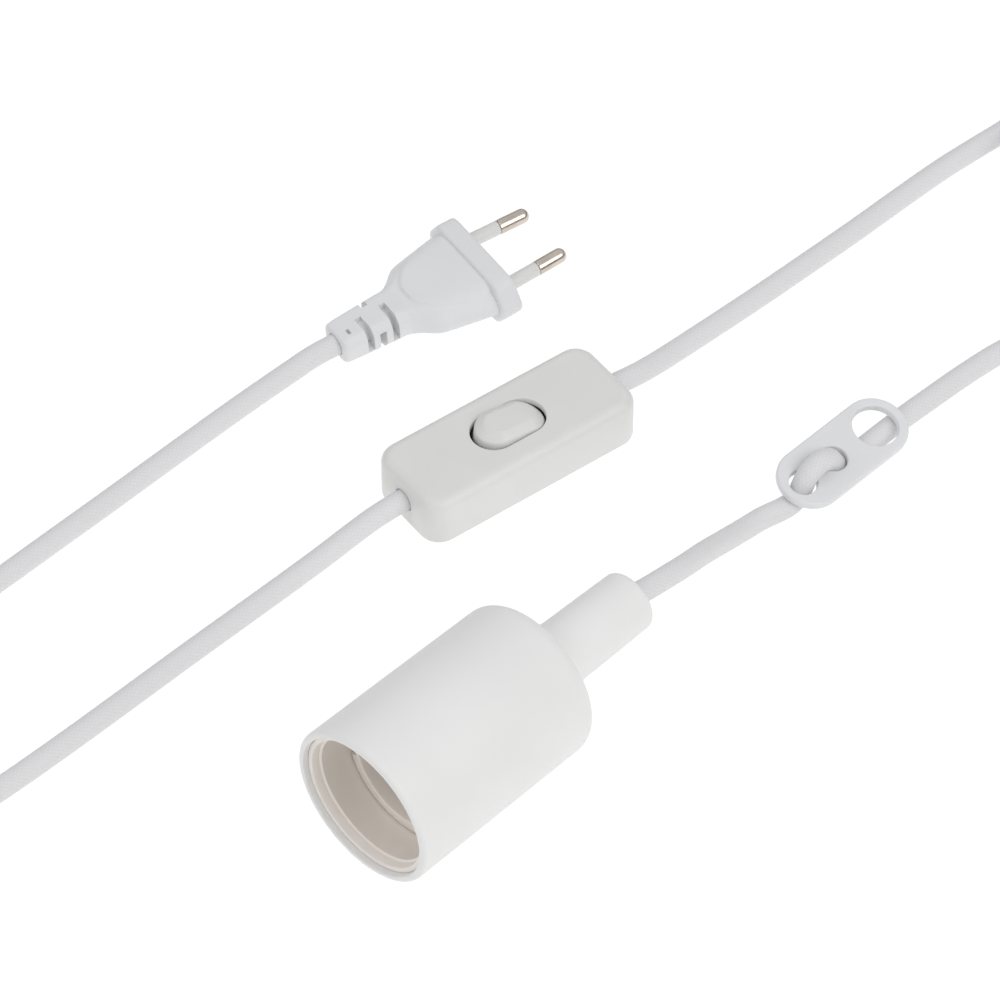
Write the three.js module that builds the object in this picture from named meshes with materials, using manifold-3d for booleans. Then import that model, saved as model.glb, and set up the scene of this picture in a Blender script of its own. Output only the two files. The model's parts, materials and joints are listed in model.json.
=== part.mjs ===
// Pendant lamp cord set: a two-pin plug, a braided cable with an in-line rocker switch,
// a cord adjuster for hanging the lamp, and an E27 lampholder in a soft silicone cover.
// Millimetres, +Z up. The lampholder lies along X with its mouth towards -X; the origin is
// on the surface it lies on, under the middle of the lampholder.
import * as THREE from "three";
import { mergeVertices } from "three/addons/utils/BufferGeometryUtils.js";
import Module from "manifold-3d";

const wasm = await Module();
wasm.setup();

// ---- driving dimensions ----
const GAP = 0.3; // between pieces that touch
const CORD_D = 5.8;
const CORD_R = CORD_D / 2;
const CORE_R = 0.95; // insulated conductor
const CORD_SIDES = 8;

const HOLDER_LENGTH = 92.3;
const MOUTH_R = 21.35;
const SHOULDER_R = 20.9;
const SHOULDER_X = 59.8; // back face of the wide body, from the mouth
const NECK_R = 8.35;
const NECK_FILLET = 6;
const COVER_WALL = 1.95;
const SHELL_FRONT = 18; // front edge of the screw shell, from the mouth

const SWITCH = { x: 70.85, y: 66.35, yaw: -8.9, half: 32.4, side: 13, height: 14, wall: 1.8 };
const PORT_Z = 7; // cable height at the switch's ends
const ROCKER_PIVOT_Z = 10.2;
const ROCKER_TILT = 8; // at rest the right end is down
const SEESAW_TILT = -6;
const HOUSING_SCREW_X = [-10.8, 10.8];
const HOUSING_SCREW_Y = 8.4;
const SEESAW_PIVOT_Z = 3.5;

const PLUG = { x: 110.9, y: 113.9, z: 7.16, yaw: -11.5, pitch: 3.2 }; // it rests on its flange and tail
const PIN_SPACING = 18.6; // at the face; the pins lean together to 17 at their tips
const PIN_LENGTH = 19;
const PIN_LEAN = THREE.MathUtils.radToDeg(Math.asin(0.8 / PIN_LENGTH));

const ADJUSTER = { x0: 114.75, x1: 138.75, y: 4, r: 8.6, middle: 7.4, thick: 2.4, roll: 12 };
const BRIDGE_X = 117.6; // middle of the bar that the cord passes over
const SMALL_HOLE_R = 3.65;
const SMALL_HOLE_PITCH = 11.1;
const HANG_HOLE_R = 6;

const COIL_LIFT = 1.1; // the tie's band passes under the coil
const LEFT_COIL = { x: -128, y: 108.9, r: 29, wide: 2, tieAngle: 180 };
const RIGHT_COIL = { x: 267.1, y: 7.5, r: 34, wide: 4, tieAngle: 0 };
const LEFT_COIL_START = -90; // angles at which the cord from the switch joins the outer turn
const LEFT_COIL_END = 70; // and at which it leaves again; the turns run clockwise
const RIGHT_COIL_START = 82;
const RIGHT_COIL_END = -120;
const COIL_LAYERS = 2;

// ---- materials ----
const material = (color, roughness, metalness = 0) =>
  new THREE.MeshStandardMaterial({ color, roughness, metalness });
const silicone = () => material(0xe4e4e3, 0.75);
const plasticWhite = () => material(0xdcdcda, 0.45);
const moulding = () => material(0xdbdcde, 0.6);
const adjusterPlastic = () => material(0xdedfe1, 0.4);
const cream = () => material(0xd6c8ba, 0.5);
const nickel = () => material(0xc9bfb2, 0.22, 1);
const brass = () => material(0xc8a455, 0.3, 1);
const steel = () => material(0xb4b6b8, 0.35, 1);
const nylon = () => material(0xcfccc4, 0.6);
const braid = () => material(0xdcdcde, 0.85);
const brownCore = () => material(0x6b4a34, 0.5);
const blueCore = () => material(0x4a6fa5, 0.5);

// ---- solids ----
// A welded copy of a closed geometry, its faces pointing out.
function welded(geometry) {
  const plain = geometry.clone();
  plain.deleteAttribute("normal");
  plain.deleteAttribute("uv");
  const merged = mergeVertices(plain, 1e-4);
  const p = merged.attributes.position;
  const source = merged.index.array;
  const kept = [];
  let volume = 0;
  const corner = [new THREE.Vector3(), new THREE.Vector3(), new THREE.Vector3()];
  for (let i = 0; i < source.length; i += 3) {
    const ids = [source[i], source[i + 1], source[i + 2]];
    if (ids[0] === ids[1] || ids[1] === ids[2] || ids[2] === ids[0]) continue;
    ids.forEach((id, k) => corner[k].fromBufferAttribute(p, id));
    volume += corner[0].dot(corner[1].clone().cross(corner[2]));
    kept.push(...ids);
  }
  if (volume < 0) kept.reverse();
  merged.setIndex(kept);
  return merged;
}

function toManifold(geometry) {
  const g = welded(geometry);
  return new wasm.Manifold(
    new wasm.Mesh({
      numProp: 3,
      vertProperties: new Float32Array(g.attributes.position.array),
      triVerts: new Uint32Array(g.index.array),
    }),
  );
}

function fromManifold(solid) {
  const mesh = solid.getMesh();
  const g = new THREE.BufferGeometry();
  g.setAttribute("position", new THREE.BufferAttribute(new Float32Array(mesh.vertProperties), 3));
  g.setIndex(new THREE.BufferAttribute(new Uint32Array(mesh.triVerts), 1));
  return g;
}

const join = (...parts) =>
  fromManifold(parts.map(toManifold).reduce((all, next) => all.add(next)));
const cut = (base, ...tools) =>
  fromManifold(tools.map(toManifold).reduce((left, tool) => left.subtract(tool), toManifold(base)));

// A solid of revolution about X from [x, r] points.
function revolve(profile, segments = 28) {
  const points = profile.map(([x, r]) => new THREE.Vector2(r, x));
  const onAxis = (q) => q.x < 1e-6;
  if (!onAxis(points[0]) || !onAxis(points.at(-1))) points.push(points[0].clone());
  return welded(new THREE.LatheGeometry(points, segments).rotateZ(-Math.PI / 2));
}

function block(x0, x1, y0, y1, z0, z1) {
  const box = new THREE.BoxGeometry(x1 - x0, y1 - y0, z1 - z0);
  return box.translate((x0 + x1) / 2, (y0 + y1) / 2, (z0 + z1) / 2);
}

const rodX = (radius, x0, x1, y = 0, z = 0, sides = 16) =>
  new THREE.CylinderGeometry(radius, radius, x1 - x0, sides)
    .rotateZ(Math.PI / 2)
    .translate((x0 + x1) / 2, y, z);
const rodY = (radius, y0, y1, x, z, sides = 16) =>
  new THREE.CylinderGeometry(radius, radius, y1 - y0, sides).translate(x, (y0 + y1) / 2, z);
const rodZ = (radius, z0, z1, x, y, sides = 16) =>
  new THREE.CylinderGeometry(radius, radius, z1 - z0, sides)
    .rotateX(Math.PI / 2)
    .translate(x, y, (z0 + z1) / 2);

// A round section swept along a smooth curve through [x, y, z] points.
function tube(points, radius, steps, sides = CORD_SIDES) {
  const corners = points.map((q) => new THREE.Vector3(...q));
  const path = new THREE.CatmullRomCurve3(corners, false, "centripetal");
  const section = new THREE.Shape();
  for (let i = 0; i < sides; i += 1) {
    const a = (2 * Math.PI * i) / sides;
    if (i === 0) section.moveTo(radius, 0);
    else section.lineTo(radius * Math.cos(a), radius * Math.sin(a));
  }
  section.closePath();
  return new THREE.ExtrudeGeometry(section, { steps, extrudePath: path, bevelEnabled: false });
}

// Counter-clockwise outline of a rectangle with round corners, or of a stadium.
function roundRect(halfA, halfB, radius, perCorner = 5) {
  const points = [];
  const centres = [
    [halfA - radius, halfB - radius, 0],
    [radius - halfA, halfB - radius, 90],
    [radius - halfA, radius - halfB, 180],
    [halfA - radius, radius - halfB, 270],
  ];
  for (const [a, b, start] of centres)
    for (let i = 0; i <= perCorner; i += 1) {
      const t = THREE.MathUtils.degToRad(start + (90 * i) / perCorner);
      points.push([a + radius * Math.cos(t), b + radius * Math.sin(t)]);
    }
  return points;
}

// A closed solid through convex loops of equal length, each an array of [x, y, z].
function loft(loops) {
  const n = loops[0].length;
  const position = loops.flat(2);
  const index = [];
  for (let k = 0; k + 1 < loops.length; k += 1)
    for (let i = 0; i < n; i += 1) {
      const a = k * n + i;
      const b = k * n + ((i + 1) % n);
      index.push(a, b, b + n, a, b + n, a + n);
    }
  const last = (loops.length - 1) * n;
  for (let i = 1; i + 1 < n; i += 1) {
    index.push(0, i + 1, i);
    index.push(last, last + i, last + i + 1);
  }
  const g = new THREE.BufferGeometry();
  g.setAttribute("position", new THREE.Float32BufferAttribute(position, 3));
  g.setIndex(index);
  return welded(g);
}

// Horizontal loops, one for each [z, inset], inside a rounded rectangle.
function stacked(halfX, halfY, radius, levels, perCorner = 5) {
  const loops = levels.map(([z, inset]) => {
    const corner = Math.max(radius - inset, 0.2);
    return roundRect(halfX - inset, halfY - inset, corner, perCorner).map(([x, y]) => [x, y, z]);
  });
  return loft(loops);
}

// [z, inset] levels of a quarter-round edge that ends at the top height.
const roundedTop = (top, radius, steps = 4) =>
  Array.from({ length: steps + 1 }, (_, i) => {
    const t = (Math.PI / 2) * (i / steps);
    return [top - radius + radius * Math.sin(t), radius * (1 - Math.cos(t))];
  });

// Points of an arc in a profile, from one angle to another in degrees.
const arc = (cx, cy, radius, from, to, steps) =>
  Array.from({ length: steps + 1 }, (_, i) => {
    const t = THREE.MathUtils.degToRad(from + ((to - from) * i) / steps);
    return [cx + radius * Math.cos(t), cy + radius * Math.sin(t)];
  });

function mesh(name, geometry, look) {
  const made = new THREE.Mesh(welded(geometry), look);
  made.name = name;
  return made;
}

// A cheese-head screw along -Z with its slot, its head's underside at z = 0.
function screw(headR, headH, shankR, shankL) {
  const body = join(rodZ(headR, 0, headH, 0, 0, 12), rodZ(shankR, -shankL, 0.1, 0, 0, 8));
  return cut(body, block(-headR - 1, headR + 1, -0.3, 0.3, headH * 0.5, headH + 1));
}

// ---- places of the switch and the plug ----
function placed({ x, y, z = 0, yaw, pitch = 0 }) {
  const group = new THREE.Group();
  group.position.set(x, y, z);
  group.rotation.order = "ZYX";
  group.rotation.z = THREE.MathUtils.degToRad(yaw);
  group.rotation.y = -THREE.MathUtils.degToRad(pitch);
  group.updateMatrixWorld(true);
  return group;
}
const inWorld = (group, point) => group.localToWorld(new THREE.Vector3(...point)).toArray();

const lampholder = new THREE.Group();
lampholder.position.set(-HOLDER_LENGTH / 2, 0, MOUTH_R);
const inlineSwitch = placed(SWITCH);
const plug = placed(PLUG);

// ---- lampholder: x runs from the mouth, the axis is the group's X ----
function holderCover() {
  const inner = MOUTH_R - COVER_WALL;
  return revolve([
    [1, inner],
    [0.2, inner + 0.4],
    [0.2, inner + 1],
    [0.9, MOUTH_R - 0.55],
    [2.4, MOUTH_R],
    ...arc(SHOULDER_X - 5, SHOULDER_R - 5, 5, 90, 0, 5),
    ...arc(SHOULDER_X + NECK_FILLET, NECK_R + NECK_FILLET, NECK_FILLET, 180, 270, 5),
    ...arc(HOLDER_LENGTH - 1.8, NECK_R - 0.35 - 1.8, 1.8, 90, 0, 3),
    [HOLDER_LENGTH, CORD_R + 0.35],
    [HOLDER_LENGTH - 3.5, CORD_R + 0.35],
    [HOLDER_LENGTH - 4.5, 6.3],
    [57.6, 6.3],
    [57.6, 16.4],
    [54.9, inner],
  ]);
}

function holderSkirt() {
  return revolve([
    [1.6, 17.9],
    [1.6, 18.9],
    [1.9, 19.1],
    [30, 19.1],
    [30, 17.4],
    [4.2, 17.4],
    [3.7, 17.9],
  ]);
}

function holderCap() {
  const shell = revolve([
    [22, 15.9],
    [22, 17.1],
    [30.3, 17.1],
    [30.3, 19.1],
    [54.4, 19.1],
    [57.3, 16.1],
    [57.3, 5.9],
    [72, 5.9],
    [72, 4.6],
    [55, 4.6],
    [55, 14],
    [52.5, 16.2],
  ]);
  return cut(shell, rodZ(1.55, 4, 8, 65, 0, 12));
}

function holderInsert() {
  const carrier = revolve([
    [13, 14.8],
    [13, 16.8],
    [13.3, 17.1],
    [15.5, 17.1],
    [15.5, 15.5],
    [38.5, 15.5],
    [38.5, 0],
    [36, 0],
    [36, 14.3],
    [13.5, 14.3],
  ], 24);
  const notches = [20, 140, 260].map((degrees) =>
    block(12, 15, 15.2, 18, -1.6, 1.6).rotateX(THREE.MathUtils.degToRad(degrees)),
  );
  const liveSlot = block(35, 40, 6.4, 8.1, -2.1, 2.1);
  const neutralSlot = block(35, 40, -11.1, -9.4, -2.1, 2.1);
  return cut(carrier, ...notches, liveSlot, neutralSlot);
}

// The lamp cap's round thread, drawn as rings of its depth.
function screwShell() {
  const outer = [];
  const inner = [];
  const turns = 5;
  for (let i = 0; i <= turns * 2; i += 1) {
    const x = SHELL_FRONT + ((34.5 - SHELL_FRONT) * i) / (turns * 2);
    const wave = i % 2 === 0 ? 13.6 : 12.8;
    outer.push([x, wave]);
    inner.unshift([x, wave - 0.4]);
  }
  return revolve([...outer, [35.6, 13.6], [35.6, 9.5], [35.2, 9.5], [35.2, 13.1], ...inner], 24);
}

// A sprung tongue that the lamp's tip presses back.
function centerContact() {
  const side = [
    [33.9, -6.1],
    [34.1, -4.3],
    [32.2, -1.8],
    [32.2, 1.8],
    [34.1, 4.3],
    [33.9, 6.1],
  ];
  const shape = new THREE.Shape();
  side.forEach(([x, y], i) => (i === 0 ? shape.moveTo(x, y) : shape.lineTo(x, y)));
  [...side].reverse().forEach(([x, y]) => shape.lineTo(x - 0.5, y));
  shape.closePath();
  return new THREE.ExtrudeGeometry(shape, { depth: 4, bevelEnabled: false }).translate(0, 0, -2);
}

function holderTerminal(strapY, y0, y1, strapFront) {
  const strap = block(strapFront, 40, strapY - 0.25, strapY + 0.25, -1.8, 1.8);
  const body = block(38.8, 46, y0, y1, -3, 3);
  const screwHole = rodZ(1.6, -1, 4, 42.4, (y0 + y1) / 2, 12);
  return cut(join(strap, body), screwHole);
}

function holderParts() {
  const terminalScrew = () => screw(2.4, 1.6, 1.3, 2.6);
  const gripRing = revolve(
    [
      [58, 3.2],
      [58, 4.3],
      [72.3, 4.3],
      [72.3, 5.9],
      [75.5, 5.9],
      [76.5, 4.9],
      [76.5, 3.2],
    ],
    24,
  );
  const liveScrew = mesh("live_terminal_screw", terminalScrew(), steel());
  liveScrew.position.set(42.4, 7.25, 3.3);
  const neutralScrew = mesh("neutral_terminal_screw", terminalScrew(), steel());
  neutralScrew.position.set(42.4, -10.25, 3.3);
  const liveCore = [
    [56.2, 1.35, 0],
    [53, 2.4, 0],
    [49.6, 5.8, 0],
    [46.9, 7.25, 0],
  ];
  const neutralCore = [
    [56.2, -1.35, 0],
    [53, -3, 0],
    [49.5, -8.2, 0],
    [46.9, -10.25, 0],
  ];
  return [
    mesh("holder_cover", holderCover(), silicone()),
    mesh("holder_skirt", holderSkirt(), cream()),
    mesh("holder_cap", holderCap(), cream()),
    mesh("holder_insert", holderInsert(), cream()),
    mesh("screw_shell", screwShell(), nickel()),
    mesh("center_contact", centerContact(), brass()),
    mesh("live_terminal", holderTerminal(7.25, 4, 10.5, 34), brass()),
    mesh("neutral_terminal", holderTerminal(-10.25, -13.5, -7, 36.2), brass()),
    liveScrew,
    neutralScrew,
    mesh("cord_grip", gripRing, nylon()),
    mesh("cord_grip_screw", rodZ(1.2, 4.65, 6, 65, 0, 12), steel()),
    mesh("holder_live_core", tube(liveCore, CORE_R, 8, 6), brownCore()),
    mesh("holder_neutral_core", tube(neutralCore, CORE_R, 8, 6), blueCore()),
  ];
}

// ---- in-line switch: x along the cable, z up from the surface it lies on ----
// The x range at one end of the switch between two depths from its end face.
const endSpan = (side, deep, shallow) =>
  side > 0 ? [SWITCH.half - deep, SWITCH.half - shallow] : [shallow - SWITCH.half, deep - SWITCH.half];

const portTunnel = (side) =>
  join(
    rodX(CORD_R + GAP, ...endSpan(side, 3.5, -1.5), 0, PORT_Z),
    block(...endSpan(side, 3.5, -1.5), -CORD_R - GAP, CORD_R + GAP, -1, PORT_Z),
  );

function switchTop() {
  const { half, side, height, wall } = SWITCH;
  const outside = stacked(half, side, 5.5, [[0, 0.4], [0.8, 0], ...roundedTop(height, 3)]);
  const inside = stacked(half - wall, side - wall, 3.7, [[-1, 0], [11, 0], [height - wall, 1.2]], 4);
  const opening = stacked(10.5, 6.1, 6.1, [[8, 0], [height + 1, 0]], 6);
  const lugs = [7.6, -7.6].map((y) =>
    cut(block(-2.6, 2.6, y - 1, y + 1, 8, 12.5), rodY(1.5, -9, 9, 0, ROCKER_PIVOT_Z)),
  );
  const bosses = HOUSING_SCREW_X.map((x) =>
    cut(rodZ(2.5, 2.6, 12.6, x, HOUSING_SCREW_Y), rodZ(1.5, 2, 11, x, HOUSING_SCREW_Y, 12)),
  );
  return join(cut(outside, inside, opening, portTunnel(1), portTunnel(-1)), ...lugs, ...bosses);
}

function switchBase() {
  const { half, side, wall } = SWITCH;
  const plate = stacked(half - wall - GAP, side - wall - GAP, 3.4, [[0, 0], [2, 0]], 4);
  const tongues = [1, -1].map((s) => block(...endSpan(s, 3, 0.3), -CORD_R, CORD_R, 0.01, 5.5));
  const posts = [];
  for (const x of [-26, 26])
    for (const y of [-6.6, 6.6]) {
      const bore = rodZ(1.35, 3, 10, x, y, 12);
      posts.push(cut(rodZ(2.1, 1.9, 9.2, x, y), bore));
    }
  const body = join(plate, ...tongues, ...posts);
  const cordPath = rodX(CORD_R + GAP, -36, 36, 0, PORT_Z);
  const screwHoles = HOUSING_SCREW_X.flatMap((x) => [
    rodZ(1.5, -1, 3, x, HOUSING_SCREW_Y, 12),
    rodZ(2.3, -1, 1.2, x, HOUSING_SCREW_Y),
  ]);
  return cut(body, cordPath, ...screwHoles);
}

function rocker() {
  const bodyLevels = [
    [9.6, 0.6],
    [10.4, 0],
    [14.3, 0],
    [15.2, 0.35],
    [16, 1.2],
    [16.3, 2.1],
  ];
  const body = stacked(9.7, 5.8, 5.8, bodyLevels, 6);
  const trunnions = rodY(1.2, -8.3, 8.3, 0, ROCKER_PIVOT_Z, 12);
  const stem = rodZ(2.6, 6.4, 10, 0, 0);
  const bore = rodZ(1.7, 6, 12.2, 0, 0);
  return cut(join(body, trunnions, stem), bore);
}

function rockerSpring() {
  const turns = 3.5;
  const steps = 28;
  const coil = Array.from({ length: steps + 1 }, (_, i) => {
    const a = (2 * Math.PI * turns * i) / steps;
    return [1.1 * Math.cos(a), 1.1 * Math.sin(a), 8.6 + (2.9 * i) / steps];
  });
  return tube(coil, 0.25, 42, 5);
}

const rockerPlunger = () =>
  revolve(
    [
      [4.5, 0],
      [4.6, 0.7],
      [5.1, 1.2],
      [5.6, 1.35],
      [8, 1.35],
      [8, 0],
    ],
    16,
  ).rotateY(-Math.PI / 2);

// A shallow V of brass strip, z measured from its pivot, with a contact rivet at its right end.
function seesawContact() {
  const shape = new THREE.Shape();
  const low = [
    [-9, 1],
    [0, 0],
    [9, 1],
  ];
  low.forEach(([x, z], i) => (i === 0 ? shape.moveTo(x, z) : shape.lineTo(x, z)));
  [...low].reverse().forEach(([x, z]) => shape.lineTo(x, z + 0.6));
  shape.closePath();
  const strip = new THREE.ExtrudeGeometry(shape, { depth: 4, bevelEnabled: false });
  strip.rotateX(Math.PI / 2).translate(0, 2, 0);
  return join(strip, rodZ(1.3, 0.4, 1.2, 7.6, 0, 12));
}

function fulcrumTerminal() {
  const plate = block(-15, 2, -2.2, 2.2, 2.3, 2.8);
  const ridge = new THREE.CylinderGeometry(0.55, 0.55, 4, 3).rotateY(Math.PI / 2);
  ridge.translate(0, 0, 2.65);
  const terminal = block(-20, -14, -3, 3, 2.3, 7.6);
  return cut(join(plate, ridge, terminal), rodZ(1.35, 4, 9, -17, 0, 12));
}

function fixedTerminal() {
  const plate = block(6, 15, -2.2, 2.2, 2.25, 2.75);
  const terminal = block(14, 20, -3, 3, 2.3, 7.6);
  return cut(join(plate, terminal), rodZ(1.35, 4, 9, 17, 0, 12));
}

const neutralConnector = () =>
  cut(block(-8, 8, -9.8, -5.6, 2.4, 6.6), rodZ(1.35, 4, 8, -5, -7.7, 12), rodZ(1.35, 4, 8, 5, -7.7, 12));

const cordClamp = (x) =>
  cut(
    block(x - 2, x + 2, -8.9, 8.9, 9.5, 11),
    rodX(CORD_R + GAP, -36, 36, 0, PORT_Z),
    rodZ(1.35, 9, 12, x, -6.6, 12),
    rodZ(1.35, 9, 12, x, 6.6, 12),
  );

function switchScrews() {
  const places = {
    live_in_screw: [-17, 0, 7.9],
    live_out_screw: [17, 0, 7.9],
    neutral_in_screw: [-5, -7.7, 6.9],
    neutral_out_screw: [5, -7.7, 6.9],
  };
  const made = Object.entries(places).map(([name, at]) => {
    const part = mesh(name, screw(1.9, 1.1, 1.05, 2.6), steel());
    part.position.set(...at);
    return part;
  });
  for (const [end, x] of [["left", -26], ["right", 26]])
    for (const [row, y] of [["front", -6.6], ["back", 6.6]]) {
      const part = mesh(`clamp_screw_${end}_${row}`, screw(1.9, 0.7, 1.05, 6), steel());
      part.position.set(x, y, 11.3);
      made.push(part);
    }
  HOUSING_SCREW_X.forEach((x, i) => {
    const part = mesh(`housing_screw_${i === 0 ? "left" : "right"}`, screw(2, 0.8, 1.15, 8.4), steel());
    part.rotation.x = Math.PI;
    part.position.set(x, HOUSING_SCREW_Y, 0.95);
    made.push(part);
  });
  return made;
}

function switchCores() {
  const live = [
    [22.1, 1.2, PORT_Z],
    [21.6, 0.9, 6],
    [20.7, 0.5, 5.4],
  ];
  const neutral = [
    [21.7, -1.6, PORT_Z],
    [20.6, -4.5, 5.6],
    [16, -6.6, 4.6],
    [11, -7.6, 4.4],
    [8.4, -7.7, 4.4],
  ];
  const mirrored = (points) => points.map(([x, y, z]) => [-x, y, z]);
  return [
    mesh("switch_live_core_in", tube(mirrored(live), CORE_R, 3, 6), brownCore()),
    mesh("switch_live_core_out", tube(live, CORE_R, 3, 6), brownCore()),
    mesh("switch_neutral_core_in", tube(mirrored(neutral), CORE_R, 10, 6), blueCore()),
    mesh("switch_neutral_core_out", tube(neutral, CORE_R, 10, 6), blueCore()),
  ];
}

// Turns a group about the lateral line through x = 0 at a height.
function tilted(height, degrees, ...parts) {
  const pivot = new THREE.Group();
  pivot.position.z = height;
  pivot.rotation.y = THREE.MathUtils.degToRad(degrees);
  pivot.add(...parts);
  return pivot;
}

function switchParts() {
  const dropped = (g) => g.translate(0, 0, -ROCKER_PIVOT_Z);
  const rockerGroup = tilted(
    ROCKER_PIVOT_Z,
    ROCKER_TILT,
    mesh("rocker", dropped(rocker()), plasticWhite()),
    mesh("rocker_spring", dropped(rockerSpring()), steel()),
    mesh("rocker_plunger", dropped(rockerPlunger()), nylon()),
  );
  return [
    mesh("switch_top", switchTop(), plasticWhite()),
    mesh("switch_base", switchBase(), plasticWhite()),
    rockerGroup,
    tilted(SEESAW_PIVOT_Z, SEESAW_TILT, mesh("seesaw_contact", seesawContact(), brass())),
    mesh("fulcrum_terminal", fulcrumTerminal(), brass()),
    mesh("fixed_terminal", fixedTerminal(), brass()),
    mesh("neutral_connector", neutralConnector(), brass()),
    mesh("cord_clamp_left", cordClamp(-26), nylon()),
    mesh("cord_clamp_right", cordClamp(26), nylon()),
    ...switchScrews(),
    ...switchCores(),
  ];
}

// ---- plug: x out of the face along the pins, the axis in the middle of its height ----
function plugBody() {
  const section = (x, halfY, halfZ, radius) => roundRect(halfY, halfZ, radius, 4).map(([y, z]) => [x, y, z]);
  const grip = loft([
    section(-46, 4.6, 4.1, 1.8),
    section(-45.2, 5.3, 4.6, 1.8),
    section(-36, 5.9, 5, 1.8),
    section(-28, 6.5, 5.4, 2.2),
    section(-25.5, 8.4, 5.7, 3),
    section(-21.5, 10.8, 5.9, 3.6),
    section(-17.5, 13.6, 6, 4),
    section(-12, 15.2, 6.1, 4.5),
    section(-5.8, 16, 6.2, 5),
  ]);
  const flange = loft([
    section(-6.2, 17.1, 6.4, 5.8),
    section(-5.6, 17.6, 6.85, 6.2),
    section(-0.6, 17.6, 6.85, 6.2),
    section(0, 17.1, 6.4, 5.8),
  ]);
  const windows = [];
  for (const x of [-39, -31.8]) {
    windows.push(block(x, x + 2, -7, 0.5, 2.9, 7));
    windows.push(block(x, x + 2, -0.5, 7, -7, -2.9));
  }
  for (const s of [1, -1]) windows.push(block(-35.4, -33.4, s > 0 ? 3.9 : -8, s > 0 ? 8 : -3.9, -3.4, 3.4));
  const pocket = block(-15, 1, -12.6, 12.6, -4.2, 4.2);
  const bore = rodX(CORD_R + GAP, -47, -14, 0, 0);
  return cut(join(grip, flange), ...windows, pocket, bore);
}

const pinPlaces = { left: 1, right: -1 };

function onPin(geometry, side) {
  return geometry
    .rotateZ(THREE.MathUtils.degToRad(-PIN_LEAN * side))
    .translate(0, (side * PIN_SPACING) / 2, 0);
}

function plugBridge() {
  const body = block(-10.7, -0.05, -12.3, 12.3, -3.9, 3.9);
  const bores = Object.values(pinPlaces).flatMap((s) => [
    onPin(rodX(1.6, -14, 3), s),
    onPin(rodX(2.2, -0.6, 3), s),
  ]);
  return cut(body, ...bores);
}

const pin = () =>
  revolve(
    [
      [-11.5, 0],
      [-11.5, 1.3],
      [10.3, 1.3],
      [10.3, 2],
      [17.4, 2],
      [18.4, 1.6],
      [18.9, 0.8],
      [PIN_LENGTH, 0],
    ],
    16,
  );

const pinSleeve = () =>
  revolve(
    [
      [-0.3, 1.6],
      [-0.3, 1.9],
      [10, 1.9],
      [10, 1.6],
    ],
    16,
  );

function plugCore(side) {
  return tube(
    [
      [-17, side * 1.25, 0],
      [-15.4, side * 1.5, 0],
      [-14, side * 2.7, 0],
      [-13.4, side * 5.2, 0],
      [-13.2, side * 7.6, 0],
      [-12.6, side * 9, 0],
    ],
    CORE_R,
    10,
    6,
  );
}

function plugParts() {
  const parts = [
    mesh("plug_body", plugBody(), moulding()),
    mesh("plug_bridge", plugBridge(), moulding()),
    mesh("plug_live_core", plugCore(1), brownCore()),
    mesh("plug_neutral_core", plugCore(-1), blueCore()),
  ];
  for (const [name, side] of Object.entries(pinPlaces)) {
    parts.push(mesh(`pin_${name}`, onPin(pin(), side), nickel()));
    parts.push(mesh(`pin_sleeve_${name}`, onPin(pinSleeve(), side), plasticWhite()));
  }
  return parts;
}

// ---- cord stretches that aren't coiled ----
const LYING_Z = CORD_R + 0.08; // centre of a cord lying on the surface
const bottomLane = COIL_LIFT + CORD_R;
const topLane = bottomLane + CORD_D * (COIL_LAYERS - 1);

// Where a cord that joins the outer turn at an angle comes clear of the coil. The sign is
// +1 to follow the turns and -1 to go back along them.
function leavingCoil(coil, degrees, sign, z) {
  const radius = coil.r + ((coil.wide - 1) * CORD_D) / 2;
  const clear = radius + CORD_D + 0.15;
  const run = sign * Math.sqrt(clear * clear - radius * radius);
  const angle = THREE.MathUtils.degToRad(degrees);
  const x = coil.x + radius * Math.cos(angle) + run * Math.sin(angle);
  const y = coil.y + radius * Math.sin(angle) - run * Math.cos(angle);
  return [x, y, z];
}

const plugCordRoute = [
  inWorld(plug, [-17.6, 0, 0]),
  inWorld(plug, [-32, 0, 0]),
  inWorld(plug, [-46, 0, 0]),
  [59, 124.4, 4.1],
  [52, 125.1, 3.5],
  [44.5, 125.6, 3.1],
  [35, 125.9, LYING_Z],
  [23, 126, LYING_Z],
  [5.4, 126, LYING_Z],
  [-12.1, 126, LYING_Z],
  [-29, 126.1, LYING_Z],
  [-46.4, 126.2, LYING_Z],
  [-62, 126.4, 3.4],
  [-74, 127.1, 5.3],
  [-86, 128.8, 8],
  leavingCoil(LEFT_COIL, LEFT_COIL_END, 1, topLane),
];

const switchInRoute = [
  inWorld(inlineSwitch, [-23, 0, PORT_Z]),
  inWorld(inlineSwitch, [-28, 0, PORT_Z]),
  inWorld(inlineSwitch, [-32.4, 0, PORT_Z]),
  [30, 72.7, 6.3],
  [23, 73.8, 4.7],
  [15.5, 74.5, 3.4],
  [8, 74.8, LYING_Z],
  [0.3, 74.9, LYING_Z],
  [-16.3, 75.2, LYING_Z],
  [-32.8, 75.5, LYING_Z],
  [-52.5, 75.7, LYING_Z],
  [-72, 76, LYING_Z],
  [-88, 76.5, 3],
  [-98, 76.8, 3.4],
  leavingCoil(LEFT_COIL, LEFT_COIL_START, -1, bottomLane),
];

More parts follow.
